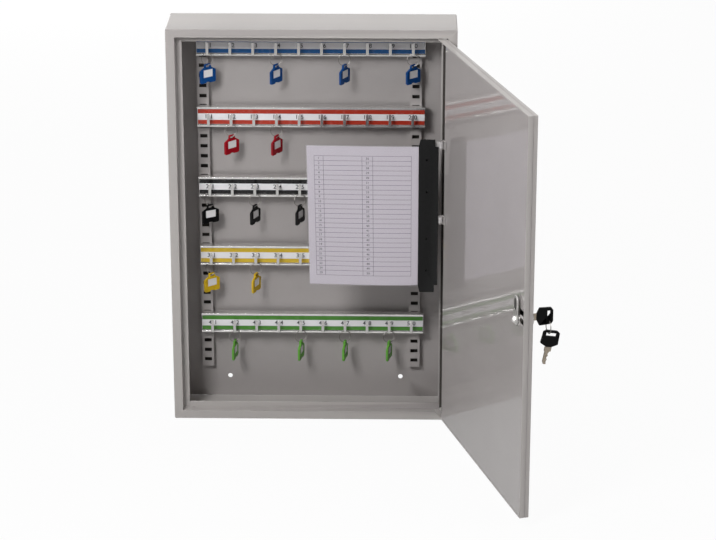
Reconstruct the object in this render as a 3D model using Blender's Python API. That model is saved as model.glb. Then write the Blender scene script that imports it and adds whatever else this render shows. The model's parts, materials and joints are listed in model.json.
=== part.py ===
"""Wall-hung key cabinet with five hook bars, swing-out key index and cam lock.

Metres, +Z up. The origin is the centre of the cabinet's back face, the wall is
the plane Y = 0 and the door faces -Y. The door stands open, as it hangs at rest.
"""

import math

import bmesh
import bpy
from mathutils import Matrix, Vector

# Cabinet body
CABINET_WIDTH = 0.380
CABINET_HEIGHT = 0.550
CABINET_DEPTH = 0.080
CASING_SHEET = 0.0012
CASING_CORNER = 0.0018
CASING_BEND = 0.0009
FRONT_FRAME = 0.0117
REBATE_DEPTH = 0.0128
LEDGE_WIDTH = 0.0085
BACK_SHEET = 0.0012
WALL_HOLE_DIAMETER = 0.0065
WALL_HOLE_FROM_SIDE = 0.0717
WALL_HOLE_FROM_END = 0.0310

# Gaps that fitted pieces keep
FIT = 0.0003
PIN_PLAY = 0.0003
DOOR_SIDE_GAP = 0.0014
DOOR_HINGE_GAP = 0.0017
DOOR_END_GAP = 0.00105

# Door
DOOR_THICKNESS = 0.0120
DOOR_SHEET = 0.0010
DOOR_BEND = 0.0008
LINER_SHEET = 0.0008
LINER_FROM_HINGE_EDGE = 0.0330
LINER_RETURN = 0.0104
PIVOT_FROM_EDGE = 0.0030
PIVOT_FROM_FACE = 0.0032
PIN_DIAMETER = 0.0030
PIN_COLLAR_DIAMETER = 0.0056
PIN_HEAD_DIAMETER = 0.0034
PIN_HEAD_THICKNESS = 0.0012
PIN_REACH = 0.0040
DOOR_OPEN_ANGLE = math.radians(107.07)

# Lock, measured from the door's outer face, out of the door
LOCK_FROM_FREE_EDGE = 0.0205
LOCK_Z = -0.0020
BARREL_DIAMETER = 0.0180
BARREL_HEAD_DIAMETER = 0.0215
BARREL_HEAD_THICKNESS = 0.0045
BARREL_HEAD_CHAMFER = 0.0011
BARREL_PAST_LINER = 0.0022
PLUG_DIAMETER = 0.0110
PLUG_STUB_SIDE = 0.0060
LOCK_NUT_ACROSS = 0.0220
LOCK_NUT_THICKNESS = 0.0030
CAM_LENGTH = 0.0310
CAM_WIDTH = 0.0150
CAM_SHEET = 0.0020
CAM_SCREW_ACROSS = 0.0085
CAM_SCREW_HEIGHT = 0.0042
CAM_SCREW_SHANK_DIAMETER = 0.0030
CAM_SCREW_SHANK_LENGTH = 0.0040
WINDOW_WIDTH = 0.0150
WINDOW_HEIGHT = 0.0080
WINDOW_BRIDGE = 0.0030
WINDOW_RISE = 0.0064
WINDOW_FROM_FREE_EDGE = 0.0022

# Keys
KEY_BLADE_LENGTH = 0.0226
KEY_BLADE_HEIGHT = 0.0066
KEY_BLADE_SHEET = 0.0018
KEY_SHOULDER_HEIGHT = 0.0088
KEY_SHOULDER_LENGTH = 0.0055
KEYWAY_PLAY = 0.0003
BOW_CORNER = 0.0009
BOW_LENGTH = 0.0217
BOW_HEIGHT = 0.0232
BOW_THICKNESS = 0.0032
BOW_STANDOFF = 0.0110
BOW_SLOT_LENGTH = 0.0132
BOW_SLOT_WIDTH = 0.0042
BOW_SLOT_RIM = 0.0034
BOW_SLOT_FLARE = 0.0009
KEY_RING_DIAMETER = 0.0190
KEY_RING_WIRE = 0.0012
KEY_RING_PLAY = 0.0002
SPARE_TILT = math.radians(12.2)
SPARE_SIDE_SHIFT = 0.0042
SPARE_SEAT_GAP = 0.0005

# Slotted rails
RAIL_WIDTH = 0.0155
RAIL_DEPTH = 0.0085
RAIL_SHEET = 0.0010
RAIL_LEFT_FROM_SIDE = 0.04235
RAIL_RIGHT_FROM_SIDE = 0.0531
RAIL_TOP_MARGIN = 0.0124
RAIL_FROM_BOTTOM = 0.0490
SLOT_WIDTH = 0.0097
SLOT_HEIGHT = 0.0050
SLOT_DROP = 0.0022
SLOTS_PER_BAR = 7

# Hook bars
BAR_PITCH = 0.0985
TOP_BAR_FROM_TOP = 0.0384
BAR_LEFT_FROM_SIDE = 0.0350
BAR_RIGHT_FROM_SIDE = 0.0406
BAR_HEIGHT = 0.0274
BAR_FACE_FORWARD = 0.0088
BAR_FACE_SHEET = 0.0010
BAR_LIP_SHEET = 0.0008
BAR_TOP_LIP = 0.0028
BAR_BOTTOM_LIP = 0.0021
LUG_WIDTH = 0.0082
LUG_SHEET = 0.0010
LUG_NOSE = 0.0014
LABEL_SHEET = 0.0006
LABEL_DROP = 0.0100
LABEL_END_INSET = 0.0008

# Hooks
HOOKS_PER_BAR = 10
FIRST_HOOK_FROM_BAR_END = 0.0154
LAST_HOOK_FROM_BAR_END = 0.01657
HOOK_WIDTH = 0.0038
HOOK_SHEET = 0.0009
HOOK_REACH = 0.0085
HOOK_TIP = 0.0070
HOOK_ROOT = 0.0070
HOOK_BEND = 0.0008
HOOK_TIP_ROUND = 0.0016
HOOK_STRIP_HEIGHT = 0.0045

# Key tags
TAG_RING_DIAMETER = 0.0170
TAG_RING_WIRE = 0.0012
TAG_RING_FORWARD = 0.0050
TAG_WIDTH = 0.0250
TAG_LENGTH = 0.0262
TAG_THICKNESS = 0.0030
TAG_EYE_WIDTH = 0.0070
TAG_EYE_HEIGHT = 0.0032
TAG_EYE_RIM = 0.0016
TAG_SHOULDER_DROP = 0.0041
TAG_SEAT = 0.0003
TAG_WINDOW_WIDTH = 0.0150
TAG_WINDOW_HEIGHT = 0.0105
TAG_WINDOW_DEPTH = 0.0006
TAG_NOTCH_WIDTH = 0.0060
TAG_NOTCH_HEIGHT = 0.0014
TAG_TWIST = math.radians(52.0)

# Swing-out key index
INDEX_PIVOT_LIFT = 0.0045
INDEX_PIN_DIAMETER = 0.0024
INDEX_EYE_DIAMETER = 0.0054
INDEX_EYE_HEIGHT = 0.0080
INDEX_EAR_SHEET = 0.0015
INDEX_EAR_HALF_WIDTH = 0.0017
INDEX_FOOT_LENGTH = 0.0090
INDEX_FOOT_SHEET = 0.0011
INDEX_TAB_LENGTH = 0.0100
INDEX_TAB_SHEET = 0.0012
INDEX_MIDDLE_Z = 0.0295
INDEX_LOW_HINGE_DROP = 0.0045
INDEX_HIGH_HINGE_FROM_END = 0.0070
SPINE_WIDTH = 0.0260
SPINE_LENGTH = 0.2120
SPINE_THICKNESS = 0.0036
SPINE_FROM_PIVOT = 0.0031
SPINE_END_INSET = 0.0045
SPINE_END_LENGTH = 0.0100
SPINE_GROOVE_DEPTH = 0.0080
POCKET_LENGTH = 0.1520
POCKET_HEIGHT = 0.1945
POCKET_THICKNESS = 0.0016
POCKET_FILM = 0.0003
POCKET_SEAM = 0.0035
PAGE_THICKNESS = 0.0004
PAGE_TOP_MARGIN = 0.0030

# Smoothness
BEND_STEPS = 3
END_ARC_STEPS = 8
SHARP_ANGLE = math.radians(35.0)
ROUND_SIDES = 24
PIN_SIDES = 16
WIRE_SIDES = 6
RING_STEPS = 16
OVERRUN = 0.0010
MERGE_DISTANCE = 0.000001

# Bar name, label colour, and for each tag on it the hook number and the turn in degrees
BARS = (
    ("blue", (0.035, 0.150, 0.480), ((1, -12), (4, 4), (7, 10), (10, -8))),
    ("red", (0.640, 0.045, 0.030), ((2, -6), (4, 8))),
    ("black", (0.020, 0.020, 0.022), ((1, -20), (3, 12), (5, 15))),
    ("yellow", (0.700, 0.520, 0.035), ((1, -12), (3, 16))),
    ("green", (0.090, 0.450, 0.060), ((2, 20), (5, 18), (7, 20), (9, 17))),
)

# Places along a key's blade and the depths of its cuts, as shares of its length and half height
KEY_CUT_SHARES = ((0.30, 0.62), (0.40, 0.30), (0.50, 0.62), (0.60, 0.10), (0.72, 0.52), (0.84, 0.30))

# Lower edge of a key's bow from the blade outward, as shares of its length and half height
BOW_EDGE_SHARES = ((0.0, 0.31), (0.18, 1.0), (0.88, 0.94), (1.0, 0.62))

# Finishes: colour, metallic value and roughness
GREY_COAT = ((0.352, 0.335, 0.318), 0.0, 0.45)
GLOSSY_COAT = ((0.352, 0.335, 0.318), 0.0, 0.22)
BRIGHT_STEEL = ((0.620, 0.610, 0.595), 1.0, 0.25)
DULL_STEEL = ((0.620, 0.610, 0.595), 1.0, 0.38)
DARK_STEEL = ((0.250, 0.245, 0.240), 1.0, 0.35)
NICKEL = ((0.560, 0.520, 0.450), 1.0, 0.35)
BLACK_PLASTIC = ((0.012, 0.012, 0.013), 0.0, 0.40)
WHITE_PLASTIC = ((0.780, 0.780, 0.770), 0.0, 0.40)
PAPER = ((0.820, 0.820, 0.830), 0.0, 0.80)
FILM = ((0.700, 0.710, 0.720), 0.0, 0.20)
PLASTIC_GLOSS = (0.0, 0.30)

# Sizes that follow from the ones above
HALF_WIDTH = CABINET_WIDTH / 2
HALF_HEIGHT = CABINET_HEIGHT / 2
OPENING_HALF_WIDTH = HALF_WIDTH - FRONT_FRAME
OPENING_HALF_HEIGHT = HALF_HEIGHT - FRONT_FRAME
DOOR_WIDTH = 2 * OPENING_HALF_WIDTH - DOOR_SIDE_GAP - DOOR_HINGE_GAP
DOOR_HALF_HEIGHT = OPENING_HALF_HEIGHT - DOOR_END_GAP
BACK_FRONT_Y = -BACK_SHEET
RAIL_BACK_Y = BACK_FRONT_Y - FIT
RAIL_FRONT_Y = RAIL_BACK_Y - RAIL_DEPTH
RAIL_LEFT_X = RAIL_LEFT_FROM_SIDE - HALF_WIDTH
RAIL_RIGHT_X = HALF_WIDTH - RAIL_RIGHT_FROM_SIDE
TOP_BAR_Z = HALF_HEIGHT - TOP_BAR_FROM_TOP
RAIL_TOP_Z = TOP_BAR_Z + RAIL_TOP_MARGIN
RAIL_BOTTOM_Z = RAIL_FROM_BOTTOM - HALF_HEIGHT
SLOT_PITCH = BAR_PITCH / SLOTS_PER_BAR
TOP_SLOT_Z = TOP_BAR_Z - SLOT_DROP

# The door's own frame has its hinge axis as origin and lies as when it is shut
HINGE_X = OPENING_HALF_WIDTH - DOOR_HINGE_GAP - PIVOT_FROM_EDGE
HINGE_Y = -CABINET_DEPTH + PIVOT_FROM_FACE
DOOR_HINGE_EDGE = PIVOT_FROM_EDGE
DOOR_FREE_EDGE = PIVOT_FROM_EDGE - DOOR_WIDTH
DOOR_OUTER = -PIVOT_FROM_FACE
DOOR_INNER = DOOR_THICKNESS - PIVOT_FROM_FACE
LINER_HINGE_EDGE = DOOR_HINGE_EDGE - LINER_FROM_HINGE_EDGE
INDEX_LOW_HINGE_Z = INDEX_MIDDLE_Z - INDEX_LOW_HINGE_DROP
INDEX_HIGH_HINGE_Z = INDEX_MIDDLE_Z + SPINE_LENGTH / 2 - INDEX_HIGH_HINGE_FROM_END
LOCK_X = DOOR_FREE_EDGE + LOCK_FROM_FREE_EDGE

# The bar's own frame has its middle height as origin; X and Y stay the cabinet's
BAR_LEFT_X = BAR_LEFT_FROM_SIDE - HALF_WIDTH
BAR_RIGHT_X = HALF_WIDTH - BAR_RIGHT_FROM_SIDE
FIRST_HOOK_X = BAR_LEFT_X + FIRST_HOOK_FROM_BAR_END
HOOK_PITCH = (BAR_RIGHT_X - LAST_HOOK_FROM_BAR_END - FIRST_HOOK_X) / (HOOKS_PER_BAR - 1)
BAR_BACK_Y = RAIL_FRONT_Y - FIT
BAR_FACE_Y = BAR_BACK_Y - BAR_FACE_FORWARD
HOOK_ROOT_BACK_Y = BAR_FACE_Y - FIT
HOOK_ROOT_FRONT_Y = HOOK_ROOT_BACK_Y - HOOK_SHEET
LABEL_BACK_Y = HOOK_ROOT_FRONT_Y - FIT
LABEL_FRONT_Y = LABEL_BACK_Y - LABEL_SHEET
LIP_BACK_Y = LABEL_FRONT_Y - FIT
LIP_FRONT_Y = LIP_BACK_Y - BAR_LIP_SHEET
HOOK_LEG_TOP = -LABEL_DROP - FIT
HOOK_ARM_Y = LABEL_FRONT_Y - HOOK_REACH
TAG_Y = LABEL_FRONT_Y - TAG_RING_FORWARD
TAG_HANG = HOOK_LEG_TOP + FIT

# Depths in the lock, from the door's outer face into the cabinet
BARREL_BACK = DOOR_THICKNESS + BARREL_PAST_LINER
BARREL_FRONT = -FIT - BARREL_HEAD_THICKNESS
CAM_FRONT = BARREL_BACK + FIT
CAM_BACK = CAM_FRONT + CAM_SHEET
BOW_FRONT = -BOW_STANDOFF
BOW_SLOT_FAR = BOW_FRONT - BOW_LENGTH + BOW_SLOT_RIM
BOW_SLOT_MIDDLE = BOW_SLOT_FAR + BOW_SLOT_WIDTH / 2


def clear_scene():
    """Start from an empty scene."""
    for old in list(bpy.data.objects):
        bpy.data.objects.remove(old, do_unlink=True)


def finish_material(name, colour, metallic, roughness):
    """One piece's own finish."""
    material = bpy.data.materials.new(name + "_finish")
    material.use_nodes = True
    shader = material.node_tree.nodes["Principled BSDF"]
    shader.inputs["Base Color"].default_value = (*colour, 1.0)
    shader.inputs["Metallic"].default_value = metallic
    shader.inputs["Roughness"].default_value = roughness
    return material


def axis_empty(name, place, parent=None, turn=0.0, about="Z"):
    """An empty on a joint's axis, which carries what turns about it."""
    holder = bpy.data.objects.new(name, None)
    bpy.context.scene.collection.objects.link(holder)
    holder.parent = parent
    holder.matrix_local = Matrix.Translation(place) @ Matrix.Rotation(turn, 4, about)
    return holder


def make_object(name, shape, parent=None):
    """Turn a bmesh into an object. A closed shape's faces are turned outward, an open one's stay."""
    if all(edge.is_manifold for edge in shape.edges):
        bmesh.ops.recalc_face_normals(shape, faces=shape.faces)
    mesh = bpy.data.meshes.new(name)
    shape.to_mesh(mesh)
    shape.free()
    piece = bpy.data.objects.new(name, mesh)
    bpy.context.scene.collection.objects.link(piece)
    piece.parent = parent
    return piece


def make_piece(name, shape, look, parent=None, smooth=False):
    """A named piece; look is colour, metallic value and roughness."""
    piece = make_object(name, shape, parent)
    piece.data.materials.append(finish_material(name, *look))
    if smooth:
        piece.data.shade_smooth()
        piece.data.set_sharp_from_angle(angle=SHARP_ANGLE)
    return piece


def boolean(piece, tool_shape, operation="DIFFERENCE"):
    """Cut a shape out of a piece, or join it on, with the same parent."""
    tool = make_object(piece.name + "_tool", tool_shape, piece.parent)
    tool.hide_render = True
    tool.display_type = "WIRE"
    step = piece.modifiers.new("Boolean", "BOOLEAN")
    step.operation = operation
    step.solver = "EXACT"
    step.object = tool


def add_box(shape, low, high):
    """A box between two corners."""
    low = Vector(low)
    high = Vector(high)
    size = Matrix.Diagonal((*(high - low), 1.0))
    bmesh.ops.create_cube(shape, size=1.0, matrix=Matrix.Translation((low + high) / 2) @ size)


def box(low, high):
    """A bmesh holding one box."""
    shape = bmesh.new()
    add_box(shape, low, high)
    return shape


def on_plane(plane, across, up, depth):
    """Place an outline's point: XZ is seen from the front, YZ from the side."""
    if plane == "XZ":
        return (across, depth, up)
    if plane == "YZ":
        return (depth, across, up)
    return (across, up, depth)


def add_prism(shape, outline, plane, low, high):
    """Extrude a closed outline from one depth to another."""
    corners = [shape.verts.new(on_plane(plane, across, up, low)) for across, up in outline]
    face = shape.faces.new(corners)
    grown = bmesh.ops.extrude_face_region(shape, geom=[face])["geom"]
    moved = [item for item in grown if isinstance(item, bmesh.types.BMVert)]
    bmesh.ops.translate(shape, verts=moved, vec=on_plane(plane, 0.0, 0.0, high - low))


def prism(outline, plane, low, high):
    """A bmesh holding one extruded outline."""
    shape = bmesh.new()
    add_prism(shape, outline, plane, low, high)
    return shape


def polygon(radius, sides, middle=(0.0, 0.0), turn=0.0):
    """Points of a regular outline, such as a circle or a hexagon."""
    step = 2 * math.pi / sides
    angles = [turn + step * side for side in range(sides)]
    return [(middle[0] + radius * math.cos(a), middle[1] + radius * math.sin(a)) for a in angles]


def rounded(outline, radius, steps=BEND_STEPS):
    """Replace each corner of a closed outline by an arc."""
    points = []
    for index, corner in enumerate(outline):
        here = Vector(corner)
        before = (Vector(outline[index - 1]) - here).normalized()
        after = (Vector(outline[(index + 1) % len(outline)]) - here).normalized()
        half = before.angle(after) / 2
        centre = here + (before + after).normalized() * (radius / math.sin(half))
        start = here + before * (radius / math.tan(half)) - centre
        end = here + after * (radius / math.tan(half)) - centre
        for step in range(steps + 1):
            share = step / steps
            arm = (start * (1.0 - share) + end * share).normalized() * radius
            points.append(tuple(centre + arm))
    return points


def add_turned(shape, profile, sides, matrix, ring=False):
    """Spin a profile of (radius, height) points about its own Z axis."""
    first = [shape.verts.new((radius, 0.0, height)) for radius, height in profile]
    pairs = list(zip(first, first[1:]))
    if ring:
        pairs.append((first[-1], first[0]))
    edges = [shape.edges.new(pair) for pair in pairs]
    before = set(shape.verts) - set(first)
    bmesh.ops.spin(shape, geom=first + edges, axis=(0.0, 0.0, 1.0), cent=(0.0, 0.0, 0.0),
                   angle=2 * math.pi, steps=sides, use_merge=True)
    made = [vert for vert in shape.verts if vert not in before]
    bmesh.ops.remove_doubles(shape, verts=made, dist=MERGE_DISTANCE)
    made = [vert for vert in shape.verts if vert not in before]
    bmesh.ops.transform(shape, matrix=matrix, verts=made)


def turned(profile, sides=ROUND_SIDES, matrix=None, ring=False):
    """A bmesh holding one turned shape."""
    shape = bmesh.new()
    add_turned(shape, profile, sides, matrix or Matrix.Identity(4), ring)
    return shape


def add_rod(shape, radius, low, high, matrix, sides=ROUND_SIDES):
    """A plain round rod along the matrix's Z axis."""
    add_turned(shape, [(0.0, low), (radius, low), (radius, high), (0.0, high)], sides, matrix)


def rod(radius, low, high, matrix=None, sides=ROUND_SIDES):
    """A bmesh holding one rod."""
    shape = bmesh.new()
    add_rod(shape, radius, low, high, matrix or Matrix.Identity(4), sides)
    return shape


def hexagon(across_flats):
    """Points of a hexagon head's outline."""
    return polygon(across_flats / 2 / math.cos(math.pi / 6), 6)


def wire_ring(diameter, wire, matrix):
    """A ring of round wire, of the given outer diameter."""
    section = polygon(wire / 2, WIRE_SIDES, ((diameter - wire) / 2, 0.0))
    return turned(section, RING_STEPS, matrix, ring=True)


# Turned pieces stand along Z; this lays them along Y, into the cabinet
ALONG_Y = Matrix.Rotation(-math.pi / 2, 4, "X")


def frame_loop(shape, inset, depth):
    """One closed loop round the casing at an inset from its outside."""
    corner = max(CASING_CORNER - inset, FIT)
    half_x = HALF_WIDTH - inset
    half_z = HALF_HEIGHT - inset
    corners = [(-half_x, -half_z), (half_x, -half_z), (half_x, half_z), (-half_x, half_z)]
    return [shape.verts.new((across, depth, up)) for across, up in rounded(corners, corner)]


def outermost(shape, axis):
    """The face of a box that lies farthest along an axis, 0 for X and 1 for Y."""
    return max(shape.faces, key=lambda face: face.calc_center_median()[axis])


def make_casing():
    """Folded sheet ring: four walls, front frame, rebate and ledge for the door."""
    sheet = CASING_SHEET
    ledge_y = REBATE_DEPTH - CABINET_DEPTH
    outer = [
        (0.0, 0.0),
        (0.0, -CABINET_DEPTH),
        (FRONT_FRAME, -CABINET_DEPTH),
        (FRONT_FRAME, ledge_y),
        (FRONT_FRAME + LEDGE_WIDTH, ledge_y),
        (FRONT_FRAME + LEDGE_WIDTH, ledge_y + sheet),
        (FRONT_FRAME - sheet, ledge_y + sheet),
        (FRONT_FRAME - sheet, sheet - CABINET_DEPTH),
        (sheet, sheet - CABINET_DEPTH),
        (sheet, 0.0),
    ]
    bends = rounded(outer, CASING_BEND / 2)
    shape = bmesh.new()
    loops = [frame_loop(shape, inset, depth) for inset, depth in bends]
    for near, far in zip(loops, loops[1:] + loops[:1]):
        for here, after in zip(range(len(near)), [*range(1, len(near)), 0]):
            shape.faces.new((near[here], near[after], far[after], far[here]))
    casing = make_piece("casing", shape, GREY_COAT)
    holes = bmesh.new()
    radius = PIN_DIAMETER / 2 + PIN_PLAY
    reach = HALF_HEIGHT - FRONT_FRAME
    for end in (-1, 1):
        low = end * reach - OVERRUN
        high = end * reach + OVERRUN
        middle = Matrix.Translation((HINGE_X, HINGE_Y, end * sheet / 2))
        add_rod(holes, radius, low, high, middle)
    boolean(casing, holes)


def make_back_panel():
    """Plain sheet that closes the back, with four holes for wall screws."""
    half_x = HALF_WIDTH - CASING_SHEET - FIT
    half_z = HALF_HEIGHT - CASING_SHEET - FIT
    panel = make_piece("back_panel", box((-half_x, BACK_FRONT_Y, -half_z), (half_x, 0.0, half_z)),
                       GREY_COAT)
    holes = bmesh.new()
    for side in (-1, 1):
        for end in (-1, 1):
            across = side * (HALF_WIDTH - WALL_HOLE_FROM_SIDE)
            up = end * (HALF_HEIGHT - WALL_HOLE_FROM_END)
            middle = Matrix.Translation((across, 0.0, up))
            add_rod(holes, WALL_HOLE_DIAMETER / 2, BACK_FRONT_Y - OVERRUN, OVERRUN, middle @ ALONG_Y)
    boolean(panel, holes)


def make_hinge_pin(name, end):
    """A headed pin with a collar, on which the door hangs and turns."""
    wall_low = OPENING_HALF_HEIGHT
    wall_high = OPENING_HALF_HEIGHT + CASING_SHEET
    collar_low = DOOR_HALF_HEIGHT + FIT
    collar_high = wall_low - FIT
    radius = PIN_DIAMETER / 2
    head = PIN_HEAD_DIAMETER / 2
    profile = [
        (0.0, DOOR_HALF_HEIGHT - PIN_REACH),
        (radius, DOOR_HALF_HEIGHT - PIN_REACH),
        (radius, collar_low),
        (PIN_COLLAR_DIAMETER / 2, collar_low),
        (PIN_COLLAR_DIAMETER / 2, collar_high),
        (radius, collar_high),
        (radius, wall_high + FIT),
        (head, wall_high + FIT),
        (head, wall_high + FIT + PIN_HEAD_THICKNESS),
        (0.0, wall_high + FIT + PIN_HEAD_THICKNESS),
    ]
    place = Matrix.Translation((HINGE_X, HINGE_Y, 0.0))
    shape = turned([(r, end * h) for r, h in profile], PIN_SIDES, place)
    make_piece(name, shape, DULL_STEEL, smooth=True)


def make_door_skin(hinge):
    """Outer sheet of the door, folded in at the top, the bottom and the free edge."""
    shape = box((DOOR_FREE_EDGE, DOOR_OUTER, -DOOR_HALF_HEIGHT),
                (DOOR_HINGE_EDGE, DOOR_INNER, DOOR_HALF_HEIGHT))
    bmesh.ops.delete(shape, geom=[outermost(shape, 0), outermost(shape, 1)], context="FACES_ONLY")
    folds = [edge for edge in shape.edges if not edge.is_boundary]
    bmesh.ops.bevel(shape, geom=folds, offset=DOOR_BEND, segments=BEND_STEPS, profile=0.5,
                    affect="EDGES", material=-1)
    skin = make_piece("door_skin", shape, GREY_COAT, hinge)
    wall = skin.modifiers.new("Solidify", "SOLIDIFY")
    wall.thickness = DOOR_SHEET
    wall.offset = -1.0
    wall.use_even_offset = True
    holes = bmesh.new()
    lock = Matrix.Translation((LOCK_X, DOOR_OUTER, LOCK_Z)) @ ALONG_Y
    add_rod(holes, BARREL_DIAMETER / 2 + FIT, -OVERRUN, DOOR_SHEET + OVERRUN, lock)
    radius = PIN_DIAMETER / 2 + PIN_PLAY
    for end in (-1, 1):
        wall_z = end * (DOOR_HALF_HEIGHT - DOOR_SHEET / 2)
        add_rod(holes, radius, wall_z - OVERRUN, wall_z + OVERRUN, Matrix.Identity(4))
    boolean(skin, holes)


def make_door_liner(hinge):
    """Inner sheet of the door: a shallow pan that stiffens it and covers the lock."""
    low_x = DOOR_FREE_EDGE + DOOR_SHEET + FIT
    half_z = DOOR_HALF_HEIGHT - DOOR_SHEET - FIT
    shape = box((low_x, DOOR_INNER - LINER_RETURN, -half_z), (LINER_HINGE_EDGE, DOOR_INNER, half_z))
    outer = min(shape.faces, key=lambda face: face.calc_center_median().y)
    bmesh.ops.delete(shape, geom=[outer], context="FACES_ONLY")
    folds = [edge for edge in shape.edges if not edge.is_boundary]
    bmesh.ops.bevel(shape, geom=folds, offset=DOOR_BEND, segments=BEND_STEPS, profile=0.5,
                    affect="EDGES", material=-1)
    liner = make_piece("door_liner", shape, GLOSSY_COAT, hinge)
    wall = liner.modifiers.new("Solidify", "SOLIDIFY")
    wall.thickness = LINER_SHEET
    wall.offset = -1.0
    wall.use_even_offset = True
    holes = bmesh.new()
    lock = Matrix.Translation((LOCK_X, DOOR_INNER, LOCK_Z)) @ ALONG_Y
    add_rod(holes, BARREL_DIAMETER / 2 + FIT, -OVERRUN - LINER_SHEET, OVERRUN, lock)
    boolean(liner, holes)
    windows = bmesh.new()
    window_low = DOOR_FREE_EDGE + WINDOW_FROM_FREE_EDGE
    for end in (-1, 1):
        middle = LOCK_Z + WINDOW_RISE + end * (WINDOW_BRIDGE + WINDOW_HEIGHT) / 2
        add_box(windows,
                (window_low, DOOR_INNER - LINER_SHEET - OVERRUN, middle - WINDOW_HEIGHT / 2),
                (window_low + WINDOW_WIDTH, DOOR_INNER + OVERRUN, middle + WINDOW_HEIGHT / 2))
    boolean(liner, windows)


def make_lock_case(lock):
    """Fixed part of the cam lock: a headed barrel and the nut that clamps it."""
    bore = PLUG_DIAMETER / 2 + FIT
    body = BARREL_DIAMETER / 2
    head = BARREL_HEAD_DIAMETER / 2
    chamfer = BARREL_HEAD_CHAMFER
    profile = [
        (bore, BARREL_FRONT),
        (head - chamfer, BARREL_FRONT),
        (head, BARREL_FRONT + chamfer),
        (head, -FIT),
        (body, -FIT),
        (body, BARREL_BACK),
        (bore, BARREL_BACK),
    ]
    make_piece("lock_barrel", turned(profile, ROUND_SIDES, ALONG_Y, ring=True), BRIGHT_STEEL,
               lock, smooth=True)
    front = DOOR_SHEET + FIT
    nut = prism(hexagon(LOCK_NUT_ACROSS), "XZ", front, front + LOCK_NUT_THICKNESS)
    nut_piece = make_piece("lock_nut", nut, DARK_STEEL, lock)
    boolean(nut_piece, rod(body + FIT, front - OVERRUN, front + LOCK_NUT_THICKNESS + OVERRUN, ALONG_Y))


def make_lock_works(turn):
    """Turning part of the lock: plug with its keyway, cam and the screw that holds it."""
    stub = PLUG_STUB_SIDE / 2
    plug = make_piece("lock_plug", rod(PLUG_DIAMETER / 2, BARREL_FRONT, BARREL_BACK, ALONG_Y),
                      BRIGHT_STEEL, turn, smooth=True)
    boolean(plug, box((-stub, BARREL_BACK - OVERRUN, -stub), (stub, CAM_BACK, stub)), "UNION")
    half_thick = KEY_BLADE_SHEET / 2 + KEYWAY_PLAY
    half_high = KEY_BLADE_HEIGHT / 2 + KEYWAY_PLAY
    tip = KEY_BLADE_LENGTH - BOW_STANDOFF
    boolean(plug, box((-half_thick, BARREL_FRONT - OVERRUN, -half_high),
                      (half_thick, tip + FIT, half_high)))
    thread = CAM_SCREW_SHANK_DIAMETER / 2
    shank_start = CAM_BACK - CAM_SCREW_SHANK_LENGTH
    boolean(plug, rod(thread + FIT, shank_start - FIT, CAM_BACK + OVERRUN, ALONG_Y))
    reach = CAM_LENGTH - CAM_WIDTH / 2
    half = CAM_WIDTH / 2
    arc = [math.pi * step / END_ARC_STEPS for step in range(END_ARC_STEPS + 1)]
    outline = [(half * math.cos(a), reach + half * math.sin(a)) for a in arc]
    outline += [(-half * math.cos(a), -half * math.sin(a)) for a in arc]
    cam = make_piece("cam", prism(outline, "XZ", CAM_FRONT, CAM_BACK), DARK_STEEL, turn)
    hole = stub + FIT
    boolean(cam, box((-hole, CAM_FRONT - OVERRUN, -hole), (hole, CAM_BACK + OVERRUN, hole)))
    head_low = CAM_BACK + FIT
    head = prism(hexagon(CAM_SCREW_ACROSS), "XZ", head_low, head_low + CAM_SCREW_HEIGHT)
    screw = make_piece("cam_screw", head, BRIGHT_STEEL, turn)
    boolean(screw, rod(thread, shank_start, head_low + FIT, ALONG_Y), "UNION")


def key_blade_outline():
    """Side view of a key's blade from the bow's edge to its cut tip."""
    top = KEY_BLADE_HEIGHT / 2
    shoulder = KEY_SHOULDER_HEIGHT / 2
    length = KEY_BLADE_LENGTH
    points = [(0.0, -shoulder), (KEY_SHOULDER_LENGTH, -shoulder), (KEY_SHOULDER_LENGTH, -top)]
    points += [(length * along, -top * depth) for along, depth in KEY_CUT_SHARES]
    points += [(length, -top / 2), (length, top / 2), (length - top, top)]
    points += [(KEY_SHOULDER_LENGTH, top), (KEY_SHOULDER_LENGTH, shoulder), (0.0, shoulder)]
    return points


def bow_outline():
    """Side view of a key's plastic bow, from its blade end outward."""
    half = BOW_HEIGHT / 2
    lower = [(-BOW_LENGTH * along, -half * up) for along, up in BOW_EDGE_SHARES]
    upper = [(along, -up) for along, up in reversed(lower)]
    return rounded(lower + upper, BOW_CORNER, 1)


def bow_slot_outline():
    """Section of a bow's slot, with its two ends flared out to both faces."""
    inner = BOW_THICKNESS / 2 - BOW_SLOT_FLARE
    outer = BOW_THICKNESS / 2 + OVERRUN
    end = BOW_SLOT_LENGTH / 2
    flared = end + BOW_SLOT_FLARE + OVERRUN
    upper = [(outer, flared), (inner, end), (-inner, end), (-outer, flared)]
    return upper + [(-across, -up) for across, up in upper]


def make_key(prefix, holder, start, spin):
    """One key: cut blade and plastic bow with a slot, lying along its own Y axis."""
    blade_half = KEY_BLADE_SHEET / 2
    blade = prism([(start + FIT + along, up) for along, up in key_blade_outline()], "YZ",
                  -blade_half, blade_half)
    bow_half = BOW_THICKNESS / 2
    bow = prism([(start + along, up) for along, up in bow_outline()], "YZ", -bow_half, bow_half)
    slot_far = start - BOW_LENGTH + BOW_SLOT_RIM
    slot = prism(bow_slot_outline(), "XZ", slot_far, slot_far + BOW_SLOT_WIDTH)
    for shape in (blade, bow, slot):
        bmesh.ops.transform(shape, matrix=spin, verts=shape.verts)
    make_piece(prefix + "_blade", blade, NICKEL, holder)
    bow_piece = make_piece(prefix + "_bow", bow, BLACK_PLASTIC, holder)
    boolean(bow_piece, slot)


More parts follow.
